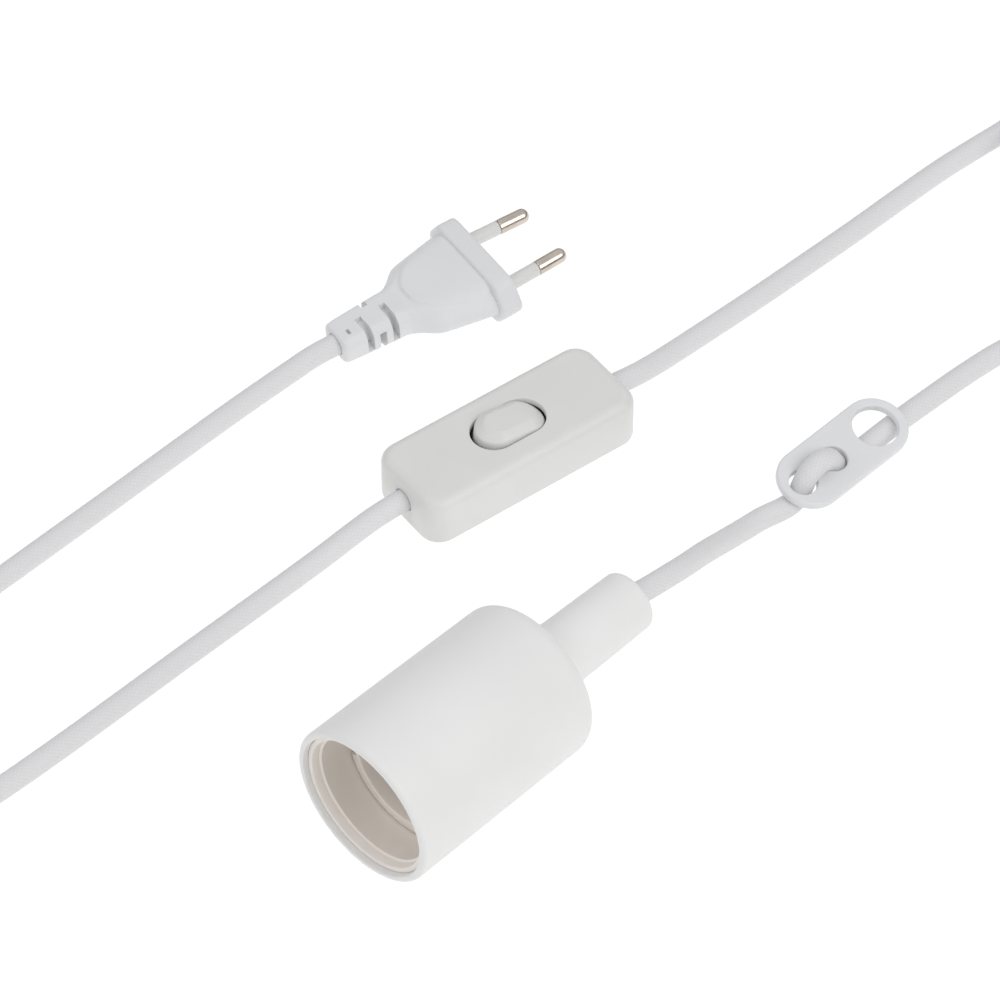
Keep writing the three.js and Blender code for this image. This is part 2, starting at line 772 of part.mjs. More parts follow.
const switchOutRoute = [
  inWorld(inlineSwitch, [23, 0, PORT_Z]),
  inWorld(inlineSwitch, [28, 0, PORT_Z]),
  inWorld(inlineSwitch, [32.4, 0, PORT_Z]),
  [111, 60.1, 6.3],
  [118, 60.3, 4.7],
  [126, 60.5, 3.4],
  [134, 60.2, LYING_Z],
  [142.6, 59.6, LYING_Z],
  [156.9, 58.7, LYING_Z],
  [171.5, 58, LYING_Z],
  [189.9, 57.2, LYING_Z],
  [208.7, 56.7, LYING_Z],
  [223.1, 56.1, LYING_Z],
  [236.1, 54.9, LYING_Z],
  [243, 54, 3.2],
  leavingCoil(RIGHT_COIL, RIGHT_COIL_START, -1, bottomLane),
];

const lampCordRoute = [
  [10.5, 0, MOUTH_R],
  [28, 0, MOUTH_R],
  [46.5, 0, MOUTH_R],
  [53, -0.3, 20.6],
  [59, -0.2, 19.4],
  [66, 0.7, 16.9],
  [74.2, 2.4, 13.3],
  [84.2, 4.5, 8.2],
  [93.3, 5.8, 4.5],
  [99.5, 5.9, 3.2],
  [103.6, 5, 3.05],
  [106.3, 4.4, 3.05],
  [108.5, 4.1, 3.35],
  [110.5, 4, 4.6],
  [111.8, 4, 6.4],
  [113.4, 4, 9],
  [115.3, 4, 10.3],
  [BRIDGE_X, 4, 10.75],
  [119.9, 4, 10.3],
  [121.8, 4, 9],
  [123.4, 4, 6.4],
  [124.7, 4, 4.6],
  [126.7, 4, 3.35],
  [129, 4, 3.05],
  [134, 4, 3.05],
  [147, 4, LYING_Z],
  [161.3, 3.4, LYING_Z],
  [171.9, 2.8, LYING_Z],
  [184.4, 1.4, LYING_Z],
  [196, -1.9, 3.4],
  [206, -6.4, 5.6],
  [216, -12, 8.6],
  leavingCoil(RIGHT_COIL, RIGHT_COIL_END, 1, topLane),
];

const LAMP_CORD_STEPS = 78;

// ---- adjuster: a flat plate with two small holes and a large one to hang it by ----
function adjusterPlate() {
  const { x0, x1, y, r, middle, thick, roll } = ADJUSTER;
  const half = thick / 2;
  const rim = 0.7;
  const levels = [
    [-half, rim],
    [0.35 - half, 0.15],
    [0.8 - half, 0],
    [half - 0.8, 0],
    [half - 0.35, 0.15],
    [half, rim],
  ];
  const blank = stacked((x1 - x0) / 2 + r, r, r, levels, 8).translate((x0 + x1) / 2, 0, 0);
  const holes = [-1, 1].map((s) => rodZ(SMALL_HOLE_R, -3, 3, BRIDGE_X + (s * SMALL_HOLE_PITCH) / 2, 0, 24));
  const hangHole = rodZ(HANG_HOLE_R, -3, 3, x1, 0, 32);
  const plate = cut(blank, ...holes, hangHole).rotateX(THREE.MathUtils.degToRad(roll));
  const cordRoom = tube(lampCordRoute.slice(8, 27), CORD_R + 0.45, 44, 12);
  return cut(plate.translate(0, y, middle), cordRoom);
}

// ---- coils of the spare length, each a plain ring the size of its turns, and their ties ----
const coilHalfWidth = (coil) => (coil.wide * CORD_D) / 2;
const coilHeight = COIL_LAYERS * CORD_D;

function coilRing(coil) {
  const half = coilHalfWidth(coil);
  const z0 = COIL_LIFT;
  const z1 = COIL_LIFT + coilHeight;
  const chamfer = 1.6;
  const profile = [
    [coil.r - half, z0 + chamfer],
    [coil.r - half + chamfer, z0],
    [coil.r + half - chamfer, z0],
    [coil.r + half, z0 + chamfer],
    [coil.r + half, z1 - chamfer],
    [coil.r + half - chamfer, z1],
    [coil.r - half + chamfer, z1],
    [coil.r - half, z1 - chamfer],
  ].map(([radius, z]) => new THREE.Vector2(radius, z));
  profile.push(profile[0].clone());
  return new THREE.LatheGeometry(profile, 32).rotateX(Math.PI / 2).translate(coil.x, coil.y, 0);
}

function coilTie(coil) {
  const radial = coilHalfWidth(coil) + 0.7;
  const thick = 0.8;
  const length = 8;
  const top = COIL_LIFT + coilHeight + GAP + thick;
  const outside = block(-radial - thick, radial + thick, -length / 2, length / 2, 0, top);
  const inside = block(-radial, radial, -length, length, thick, top - thick);
  const angle = THREE.MathUtils.degToRad(coil.tieAngle);
  return cut(outside, inside)
    .translate(coil.r, 0, 0)
    .rotateZ(angle)
    .translate(coil.x, coil.y, 0);
}

// ---- the whole set ----
const cordSet = new THREE.Group();
lampholder.add(...holderParts());
inlineSwitch.add(...switchParts());
plug.add(...plugParts());
cordSet.add(
  lampholder,
  inlineSwitch,
  plug,
  mesh("cord_adjuster", adjusterPlate(), adjusterPlastic()),
  mesh("cord_to_plug", tube(plugCordRoute, CORD_R, 24), braid()),
  mesh("cord_into_switch", tube(switchInRoute, CORD_R, 20), braid()),
  mesh("cord_out_of_switch", tube(switchOutRoute, CORD_R, 20), braid()),
  mesh("cord_to_lampholder", tube(lampCordRoute, CORD_R, LAMP_CORD_STEPS), braid()),
  mesh("coil_left", coilRing(LEFT_COIL), braid()),
  mesh("coil_right", coilRing(RIGHT_COIL), braid()),
  mesh("coil_tie_left", coilTie(LEFT_COIL), nylon()),
  mesh("coil_tie_right", coilTie(RIGHT_COIL), nylon()),
);

export default cordSet;
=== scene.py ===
"""Looks of the pendant lamp cord set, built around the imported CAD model.

Dimensions are in millimetres and every mesh is scaled to metres as it is made.
"""
import json
import math

import bmesh
import bpy
import numpy as np
from mathutils import Matrix, Vector


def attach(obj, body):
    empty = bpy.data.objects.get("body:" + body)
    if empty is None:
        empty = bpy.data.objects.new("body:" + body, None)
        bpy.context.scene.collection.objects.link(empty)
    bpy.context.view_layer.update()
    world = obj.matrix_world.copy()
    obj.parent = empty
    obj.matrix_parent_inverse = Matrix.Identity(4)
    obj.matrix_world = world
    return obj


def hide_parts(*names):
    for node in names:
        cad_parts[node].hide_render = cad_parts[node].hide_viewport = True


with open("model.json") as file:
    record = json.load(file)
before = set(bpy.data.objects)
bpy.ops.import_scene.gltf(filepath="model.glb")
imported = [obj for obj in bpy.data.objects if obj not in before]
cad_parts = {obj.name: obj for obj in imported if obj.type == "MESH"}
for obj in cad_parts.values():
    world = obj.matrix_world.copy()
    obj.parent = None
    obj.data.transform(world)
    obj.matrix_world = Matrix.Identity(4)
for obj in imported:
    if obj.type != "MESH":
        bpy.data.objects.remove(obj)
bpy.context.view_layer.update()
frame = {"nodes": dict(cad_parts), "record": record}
nodes = frame["nodes"]

MM = 0.001

# ---- driving dimensions, as in the CAD ----
CORD_D = 5.8
CORD_R = CORD_D / 2
LYING_Z = CORD_R + 0.08
HOLDER_LENGTH, MOUTH_R, COVER_WALL = 92.3, 21.35, 1.95
SHOULDER_X, SHOULDER_R = 59.8, 20.9
NECK_R, NECK_FILLET, NECK_BLEND = 8.35, 6.0, 10.0
SWITCH_HALF, SWITCH_SIDE, SWITCH_HEIGHT, SWITCH_WALL = 32.4, 13.0, 14.0, 1.8
PORT_Z = 7.0
HOUSING_SCREWS = [(-10.8, 8.4), (10.8, 8.4)]
ROCKER_PIVOT_Z = 10.2
ROCKER_TILT = 8.0
PIN_LENGTH = 19.0
PIN_SPACING = 18.6
PIN_LEAN = math.degrees(math.asin(0.8 / PIN_LENGTH))
ADJUSTER_X0, ADJUSTER_X1, ADJUSTER_Y = 114.75, 138.75, 4.0
ADJUSTER_R, ADJUSTER_MIDDLE, ADJUSTER_THICK, ADJUSTER_ROLL = 8.6, 7.4, 2.4, 12.0
BRIDGE_X, SMALL_HOLE_PITCH, SMALL_HOLE_R, HANG_HOLE_R = 117.6, 11.1, 3.65, 6.0
COIL_LIFT = 1.1
LEFT_COIL = {"x": -128.0, "y": 108.9, "r": 29.0, "wide": 2, "tie": 180.0}
LEFT_COIL["start"], LEFT_COIL["end"] = -90.0, 70.0
RIGHT_COIL = {"x": 267.1, "y": 7.5, "r": 34.0, "wide": 4, "tie": 0.0}
RIGHT_COIL["start"], RIGHT_COIL["end"] = 82.0, -120.0
BOTTOM_LANE = COIL_LIFT + CORD_R
TOP_LANE = BOTTOM_LANE + CORD_D

# ---- camera ----
TARGET = Vector((60.2, 58.65, 0.0)) * MM
CAMERA_DISTANCE = 1.6
CAMERA_AZIMUTH = -45.43
CAMERA_ELEVATION = 48.0
LENS = 230.4


def turned(degrees, axis):
    return Matrix.Rotation(math.radians(degrees), 4, axis)


def placed(x, y, z, yaw=0.0):
    """Matrix from a sub-part's own millimetre frame to the shared frame's millimetres."""
    return Matrix.Translation((x, y, z)) @ turned(yaw, "Z")


HOLDER = placed(-HOLDER_LENGTH / 2, 0.0, MOUTH_R, 0.0)
SWITCH = placed(70.85, 66.35, 0.0, -8.9)
PLUG = placed(110.9, 113.9, 7.16, -11.5) @ turned(-3.2, "Y")
ROCKER = (
    SWITCH
    @ Matrix.Translation((0, 0, ROCKER_PIVOT_Z))
    @ turned(ROCKER_TILT, "Y")
    @ Matrix.Translation((0, 0, -ROCKER_PIVOT_Z))
)


def add_camera():
    data = bpy.data.cameras.new("camera")
    data.sensor_width = 36.0
    data.lens = LENS
    data.clip_start, data.clip_end = 0.05, 20.0
    camera = bpy.data.objects.new("camera", data)
    bpy.context.scene.collection.objects.link(camera)
    azimuth, elevation = math.radians(CAMERA_AZIMUTH), math.radians(CAMERA_ELEVATION)
    back = Vector(
        (
            math.sin(azimuth) * math.cos(elevation),
            -math.cos(azimuth) * math.cos(elevation),
            math.sin(elevation),
        )
    )
    camera.location = TARGET + back * CAMERA_DISTANCE
    camera.rotation_mode = "QUATERNION"
    camera.rotation_quaternion = (-back).to_track_quat("-Z", "Y")
    bpy.context.scene.camera = camera


# ---- mesh helpers ----
def new_object(name, verts, faces, place=None, sharp=35.0, uvs=None):
    """A mesh object from points in millimetres, in a sub-part's frame."""
    place = place or Matrix.Identity(4)
    moved = [(place @ Vector(v)) * MM for v in verts]
    mesh = bpy.data.meshes.new(name)
    mesh.from_pydata([tuple(v) for v in moved], [], faces)
    if uvs is not None:
        layer = mesh.uv_layers.new(name="UVMap")
        for loop in mesh.loops:
            layer.data[loop.index].uv = uvs[loop.index]
    obj = bpy.data.objects.new(name, mesh)
    bpy.context.scene.collection.objects.link(obj)
    if uvs is None:
        clean(obj)
    shade(obj, sharp)
    return obj


def clean(obj):
    """Welds doubled points, drops flat faces and turns the faces outwards."""
    bm = bmesh.new()
    bm.from_mesh(obj.data)
    bmesh.ops.remove_doubles(bm, verts=bm.verts, dist=2e-6)
    bmesh.ops.dissolve_degenerate(bm, edges=bm.edges, dist=1e-6)
    bmesh.ops.recalc_face_normals(bm, faces=bm.faces)
    bm.to_mesh(obj.data)
    bm.free()


def shade(obj, sharp=35.0):
    obj.data.shade_smooth()
    obj.data.set_sharp_from_angle(angle=math.radians(sharp))


def boolean(obj, operation, *tools, sharp=35.0):
    """Applies each tool to the object and deletes it."""
    for tool in tools:
        modifier = obj.modifiers.new("cut", "BOOLEAN")
        modifier.operation = operation
        modifier.solver = "EXACT"
        modifier.object = tool
        apply_modifiers(obj)
        bpy.data.objects.remove(tool)
    clean(obj)
    shade(obj, sharp)
    return obj


def apply_modifiers(obj):
    bpy.context.view_layer.update()
    evaluated = obj.evaluated_get(bpy.context.evaluated_depsgraph_get())
    made = bpy.data.meshes.new_from_object(evaluated)
    obj.modifiers.clear()
    old, obj.data = obj.data, made
    bpy.data.meshes.remove(old)


def revolve(name, profile, place, segments=96, sharp=35.0):
    """A closed [x, r] profile turned about X. profile may be a function of the angle."""
    rings = []
    for i in range(segments):
        angle = 2 * math.pi * i / segments
        points = profile(angle) if callable(profile) else profile
        rings.append([(x, r * math.cos(angle), r * math.sin(angle)) for x, r in points])
    count = len(rings[0])
    faces = []
    for i in range(segments):
        j = (i + 1) % segments
        for k in range(count):
            nxt = (k + 1) % count
            faces.append((i * count + k, i * count + nxt, j * count + nxt, j * count + k))
    verts = [v for ring in rings for v in ring]
    return new_object(name, verts, faces, place, sharp)


def loft(name, loops, place=None, ring=False, sharp=35.0):
    """Loops of equal length joined in order, into a closed ring or into a bar with capped ends."""
    n = len(loops[0])
    faces = []
    steps = len(loops) if ring else len(loops) - 1
    for k in range(steps):
        a0, b0 = k * n, ((k + 1) % len(loops)) * n
        for i in range(n):
            j = (i + 1) % n
            faces.append((a0 + i, a0 + j, b0 + j, b0 + i))
    if not ring:
        faces.append(tuple(reversed(range(n))))
        faces.append(tuple(range((len(loops) - 1) * n, len(loops) * n)))
    return new_object(name, [p for loop in loops for p in loop], faces, place, sharp)


def arc(cx, cy, radius, start, end, steps):
    made = []
    for i in range(steps + 1):
        a = math.radians(start + (end - start) * i / steps)
        made.append((cx + radius * math.cos(a), cy + radius * math.sin(a)))
    return made


def resampled(points, count):
    """A closed outline sampled evenly, starting where it does."""
    pts = np.array(points + [points[0]])
    steps = np.linalg.norm(np.diff(pts, axis=0), axis=1)
    at = np.concatenate([[0], np.cumsum(steps)])
    wanted = np.linspace(0, at[-1], count, endpoint=False)
    return list(zip(np.interp(wanted, at, pts[:, 0]), np.interp(wanted, at, pts[:, 1])))


def round_rect(half_a, half_b, radius, count=160):
    """An evenly sampled rounded rectangle that starts at its +a side's middle."""
    r = max(min(radius, half_a, half_b), 0.01)
    pts = [(half_a, 0.0)]
    for ca, cb, start in (
        (half_a - r, half_b - r, 0),
        (r - half_a, half_b - r, 90),
        (r - half_a, r - half_b, 180),
        (half_a - r, r - half_b, 270),
    ):
        pts += arc(ca, cb, r, start, start + 90, 24)
    return resampled(pts, count)


def block(x0, x1, y0, y1, z0, z1, place=None):
    corners = [(x, y, z) for z in (z0, z1) for y in (y0, y1) for x in (x0, x1)]
    faces = [(0, 2, 3, 1), (4, 5, 7, 6), (0, 1, 5, 4), (2, 6, 7, 3), (0, 4, 6, 2), (1, 3, 7, 5)]
    return new_object("tool", corners, faces, place)


def rod(radius, start, end, place=None, sides=40):
    """A round bar between two points, or a stack of [distance, radius] when radius is a list."""
    start, end = Vector(start), Vector(end)
    axis = (end - start).normalized()
    across = axis.orthogonal().normalized()
    other = axis.cross(across)
    levels = radius if isinstance(radius, list) else [(0, radius), ((end - start).length, radius)]
    loops = []
    for distance, r in levels:
        middle = start + axis * distance
        loops.append(
            [
                tuple(middle + across * (r * math.cos(a)) + other * (r * math.sin(a)))
                for a in np.linspace(0, 2 * math.pi, sides, endpoint=False)
            ]
        )
    return loft("tool", loops, place)


# ---- cords ----
def smooth_path(points, spacing):
    """Centripetal Catmull-Rom through the points, sampled evenly."""
    p = [np.array(q, float) for q in points]
    p = [2 * p[0] - p[1], *p, 2 * p[-1] - p[-2]]
    dense = []
    for i in range(1, len(p) - 2):
        p0, p1, p2, p3 = p[i - 1 : i + 3]
        t0, t1 = 0.0, math.sqrt(np.linalg.norm(p1 - p0))
        t2 = t1 + math.sqrt(np.linalg.norm(p2 - p1))
        t3 = t2 + math.sqrt(np.linalg.norm(p3 - p2))
        for t in np.linspace(t1, t2, 16, endpoint=False):
            a1 = (t1 - t) / (t1 - t0) * p0 + (t - t0) / (t1 - t0) * p1
            a2 = (t2 - t) / (t2 - t1) * p1 + (t - t1) / (t2 - t1) * p2
            a3 = (t3 - t) / (t3 - t2) * p2 + (t - t2) / (t3 - t2) * p3
            b1 = (t2 - t) / (t2 - t0) * a1 + (t - t0) / (t2 - t0) * a2
            b2 = (t3 - t) / (t3 - t1) * a2 + (t - t1) / (t3 - t1) * a3
            dense.append((t2 - t) / (t2 - t1) * b1 + (t - t1) / (t2 - t1) * b2)
    dense.append(p[-2])
    line = np.array(dense)
    steps = np.linalg.norm(np.diff(line, axis=0), axis=1)
    at = np.concatenate([[0], np.cumsum(steps)])
    count = max(int(at[-1] / spacing), 2)
    wanted = np.linspace(0, at[-1], count + 1)
    return np.stack([np.interp(wanted, at, line[:, k]) for k in range(3)], axis=1)


def tube(name, line, radius, sides=28):
    """A capped round tube along a sampled line, its UV one turn wide and as long in proportion."""
    tangents = np.gradient(line, axis=0)
    tangents /= np.linalg.norm(tangents, axis=1)[:, None]
    normal = np.cross(tangents[0], (0, 0, 1.0))
    normal /= np.linalg.norm(normal)
    angles = np.linspace(0, 2 * math.pi, sides, endpoint=False)
    verts = []
    for point, tangent in zip(line, tangents):
        normal = normal - tangent * normal.dot(tangent)
        normal /= np.linalg.norm(normal)
        across = np.cross(tangent, normal)
        for a in angles:
            verts.append(tuple(point + radius * (math.cos(a) * normal + math.sin(a) * across)))
    along = np.concatenate([[0], np.cumsum(np.linalg.norm(np.diff(line, axis=0), axis=1))])
    along = along / (2 * math.pi * radius)
    faces, uvs = [], []
    for i in range(len(line) - 1):
        for k in range(sides):
            j = (k + 1) % sides
            faces.append((i * sides + k, i * sides + j, (i + 1) * sides + j, (i + 1) * sides + k))
            u0, u1 = k / sides, (k + 1) / sides
            uvs += [(u0, along[i]), (u1, along[i]), (u1, along[i + 1]), (u0, along[i + 1])]
    last = (len(line) - 1) * sides
    faces.append(tuple(reversed(range(sides))))
    uvs += [(0.5, 0.0)] * sides
    faces.append(tuple(range(last, last + sides)))
    uvs += [(0.5, along[-1])] * sides
    return new_object(name, verts, faces, uvs=uvs, sharp=60.0)


LANE_MOVE = 50.0  # degrees that a change of lane takes
LANE_MOVE_GAP = 20.0  # degrees from the end of the first change to the end of its turn
LANE_MOVE_LEAD = 24.0  # degrees by which each change comes earlier than the last
COIL_STEP = 15.0  # degrees between points of a turn


def coil_points(coil, lanes):
    """Clockwise turns that move from lane to lane, each move a little earlier in its turn."""
    first_end = 360.0 - LANE_MOVE_GAP
    ends = [first_end + (360.0 - LANE_MOVE_LEAD) * i for i in range(len(lanes) - 1)]
    whole = (coil["start"] - coil["end"]) % 360.0 + 360.0 * (len(lanes) - 1)
    made = []
    for travelled in np.linspace(0.0, whole, int(whole / COIL_STEP)):
        radius, height = lanes[0]
        for end, before, after in zip(ends, lanes, lanes[1:]):
            t = min(max((travelled - end + LANE_MOVE) / LANE_MOVE, 0.0), 1.0)
            t = t * t * (3 - 2 * t)
            radius += t * (after[0] - before[0])
            height += t * (after[1] - before[1])
        a = math.radians(coil["start"] - travelled)
        made.append((coil["x"] + radius * math.cos(a), coil["y"] + radius * math.sin(a), height))
    return made


def in_frame(place, *point):
    return tuple(place @ Vector(point))


def leaving_coil(coil, lanes, degrees, sign, z):
    """Where a cord that joins the outer turn at an angle comes clear of the coil."""
    radius = lanes[0][0]
    clear = radius + CORD_D + 0.15
    run = sign * math.sqrt(clear * clear - radius * radius)
    a = math.radians(degrees)
    x = coil["x"] + radius * math.cos(a) + run * math.sin(a)
    y = coil["y"] + radius * math.sin(a) - run * math.cos(a)
    return (x, y, z)


LEFT_LANES = [
    (LEFT_COIL["r"] + CORD_R, BOTTOM_LANE),
    (LEFT_COIL["r"] - CORD_R, BOTTOM_LANE),
    (LEFT_COIL["r"] - CORD_R, TOP_LANE),
    (LEFT_COIL["r"] + CORD_R, TOP_LANE),
]
RIGHT_RADII = [RIGHT_COIL["r"] + CORD_D * k for k in (1.5, 0.5, -0.5, -1.5)]
RIGHT_LANES = [(r, BOTTOM_LANE) for r in RIGHT_RADII] + [(r, TOP_LANE) for r in reversed(RIGHT_RADII)]

SWITCH_LEFT_ROUTE = [
    in_frame(SWITCH, -23, 0, PORT_Z),
    in_frame(SWITCH, -28, 0, PORT_Z),
    in_frame(SWITCH, -SWITCH_HALF, 0, PORT_Z),
    (30, 72.7, 6.3),
    (23, 73.8, 4.7),
    (15.5, 74.5, 3.4),
    (8, 74.8, LYING_Z),
    (0.3, 74.9, LYING_Z),
    (-16.3, 75.2, LYING_Z),
    (-32.8, 75.5, LYING_Z),
    (-52.5, 75.7, LYING_Z),
    (-72, 76, LYING_Z),
    (-88, 76.5, 3),
    (-98, 76.8, 3.4),
    leaving_coil(LEFT_COIL, LEFT_LANES, LEFT_COIL["start"], -1, BOTTOM_LANE),
]
PLUG_ROUTE = [
    leaving_coil(LEFT_COIL, LEFT_LANES, LEFT_COIL["end"], 1, TOP_LANE),
    (-86, 128.8, 8),
    (-74, 127.1, 5.3),
    (-62, 126.4, 3.4),
    (-46.4, 126.2, LYING_Z),
    (-29, 126.1, LYING_Z),
    (-12.1, 126, LYING_Z),
    (5.4, 126, LYING_Z),
    (23, 126, LYING_Z),
    (35, 125.9, LYING_Z),
    (44.5, 125.6, 3.1),
    (52, 125.1, 3.5),
    (59, 124.4, 4.1),
    in_frame(PLUG, -46, 0, 0),
    in_frame(PLUG, -32, 0, 0),
    in_frame(PLUG, -17.6, 0, 0),
]
LAMP_ROUTE = [
    (20, 0, MOUTH_R),
    (34, 0, MOUTH_R),
    (46.5, 0, MOUTH_R),
    (53, -0.3, 20.6),
    (59, -0.2, 19.4),
    (66, 0.7, 16.9),
    (74.2, 2.4, 13.3),
    (84.2, 4.5, 8.2),
    (93.3, 5.8, 4.5),
    (99.5, 5.9, 3.2),
    (103.6, 5, 3.05),
    (106.3, 4.4, 3.05),
    (108.5, 4.1, 3.35),
    (110.5, 4, 4.6),
    (111.8, 4, 6.4),
    (113.4, 4, 9),
    (115.3, 4, 10.3),
    (BRIDGE_X, 4, 10.75),
    (119.9, 4, 10.3),
    (121.8, 4, 9),
    (123.4, 4, 6.4),
    (124.7, 4, 4.6),
    (126.7, 4, 3.35),
    (129, 4, 3.05),
    (134, 4, 3.05),
    (147, 4, LYING_Z),
    (161.3, 3.4, LYING_Z),
    (171.9, 2.8, LYING_Z),
    (184.4, 1.4, LYING_Z),
    (196, -1.9, 3.4),
    (206, -6.4, 5.6),
    (216, -12, 8.6),
    leaving_coil(RIGHT_COIL, RIGHT_LANES, RIGHT_COIL["end"], 1, TOP_LANE),
]
SWITCH_RIGHT_ROUTE = [
    leaving_coil(RIGHT_COIL, RIGHT_LANES, RIGHT_COIL["start"], -1, BOTTOM_LANE),
    (243, 54, 3.2),
    (236.1, 54.9, LYING_Z),
    (223.1, 56.1, LYING_Z),
    (208.7, 56.7, LYING_Z),
    (189.9, 57.2, LYING_Z),
    (171.5, 58, LYING_Z),
    (156.9, 58.7, LYING_Z),
    (142.6, 59.6, LYING_Z),
    (134, 60.2, LYING_Z),
    (126, 60.5, 3.4),
    (118, 60.3, 4.7),
    (111, 60.1, 6.3),
    in_frame(SWITCH, SWITCH_HALF, 0, PORT_Z),
    in_frame(SWITCH, 28, 0, PORT_Z),
    in_frame(SWITCH, 23, 0, PORT_Z),
]
CORD_SPACING = 1.2


def plug_cord_line():
    coil = coil_points(LEFT_COIL, LEFT_LANES)
    return smooth_path(SWITCH_LEFT_ROUTE + coil + PLUG_ROUTE, CORD_SPACING)


def lamp_cord_line():
    coil = coil_points(RIGHT_COIL, RIGHT_LANES)
    return smooth_path(LAMP_ROUTE + coil[::-1] + SWITCH_RIGHT_ROUTE, CORD_SPACING)


# ---- materials ----
class Shader:
    """A small helper over one material's nodes."""

    def __init__(self, name, roughness=0.5, metallic=0.0):
        self.material = bpy.data.materials.new(name)
        self.material.use_nodes = True
        self.tree = self.material.node_tree
        self.surface = self.tree.nodes["Principled BSDF"]
        self.surface.inputs["Roughness"].default_value = roughness
        self.surface.inputs["Metallic"].default_value = metallic

    def node(self, kind, **inputs):
        made = self.tree.nodes.new(kind)
        for key, value in inputs.items():
            self.put(made.inputs[key], value)
        return made

    def put(self, socket, value):
        if isinstance(value, bpy.types.NodeSocket):
            self.tree.links.new(value, socket)
        else:
            socket.default_value = value

    def math(self, operation, a, b=0.0, c=0.0):
        made = self.tree.nodes.new("ShaderNodeMath")
        made.operation = operation
        for socket, value in zip(made.inputs, (a, b, c)):
            self.put(socket, value)
        return made.outputs[0]

    def coordinates(self, kind="Object"):
        return self.node("ShaderNodeTexCoord").outputs[kind]

    def noise(self, scale, detail=3.0, roughness=0.5, vector=None):
        vector = vector or self.coordinates()
        made = self.node("ShaderNodeTexNoise", Vector=vector, Scale=scale, Detail=detail, Roughness=roughness)
        return made.outputs["Fac"]

    def ramp(self, value, low, high, start=0.3, end=0.7):
        """low to high, as numbers or as colours, while value goes from start to end."""
        if isinstance(low, (int, float)):
            made = self.node("ShaderNodeMapRange", Value=value)
            numbers = {"From Min": start, "From Max": end, "To Min": low, "To Max": high}
            for key, number in numbers.items():
                made.inputs[key].default_value = number
            return made.outputs["Result"]
        made = self.tree.nodes.new("ShaderNodeValToRGB")
        self.put(made.inputs["Fac"], value)
        made.color_ramp.elements[0].position = start
        made.color_ramp.elements[1].position = end
        made.color_ramp.elements[0].color = (*low, 1)
        made.color_ramp.elements[1].color = (*high, 1)
        return made.outputs["Color"]

    def color(self, value):
        self.put(self.surface.inputs["Base Color"], value)

    def roughness(self, value):
        self.put(self.surface.inputs["Roughness"], value)

    def bump(self, height, distance_mm, strength=1.0, normal=None):
        made = self.node("ShaderNodeBump", Height=height)
        made.inputs["Strength"].default_value = strength
        made.inputs["Distance"].default_value = distance_mm * MM
        if normal is not None:
            self.put(made.inputs["Normal"], normal)
        self.put(self.surface.inputs["Normal"], made.outputs["Normal"])
        return made.outputs["Normal"]

    def set(self, **sockets):
        for key, value in sockets.items():
            self.surface.inputs[key.replace("_", " ")].default_value = value


def tinted(color, factor):
    return tuple(min(c * factor, 1.0) for c in color)


def plastic(name, color, grain_mm, rough, depth_mm=0.004, variation=0.02, soft=0.0):
    """A moulded plastic: faint clouding, a spark-eroded grain and a little waviness in its gloss."""
    s = Shader(name)
    cloud = s.noise(60.0, 4.0)
    s.color(s.ramp(cloud, tinted(color, 1 - variation), tinted(color, 1 + variation)))
    grain = s.noise(1000.0 / grain_mm, 2.0, 0.6)
    s.roughness(s.ramp(grain, rough - 0.05, rough + 0.06))
    fine = s.bump(grain, depth_mm, 0.6)
    wave = s.noise(90.0, 1.0)
    s.bump(wave, 0.03, 0.25, fine)
    if soft:
        s.set(Subsurface_Weight=soft, Subsurface_Radius=(0.0012, 0.0011, 0.001), Subsurface_Scale=1.0)
    return s.material


def metal(name, color, rough, brushed=False, depth_mm=0.003):
    """Plated or turned metal with fine tool lines and slight tarnish."""
    s = Shader(name, rough, 1.0)
    tarnish = s.noise(300.0, 5.0, 0.6)
    s.color(s.ramp(tarnish, tinted(color, 0.88), tinted(color, 1.05)))
    vector = s.coordinates()
    if brushed:
        mapping = s.node("ShaderNodeMapping", Vector=vector)
        mapping.inputs["Scale"].default_value = (1.0, 14.0, 14.0)
        vector = mapping.outputs["Vector"]
    lines = s.noise(700.0, 2.0, 0.5, vector)
    s.roughness(s.ramp(lines, rough - 0.04, rough + 0.1))
    s.bump(lines, depth_mm, 0.4)
    return s.material


BRAID_CARRIERS = 16
YARNS = 3


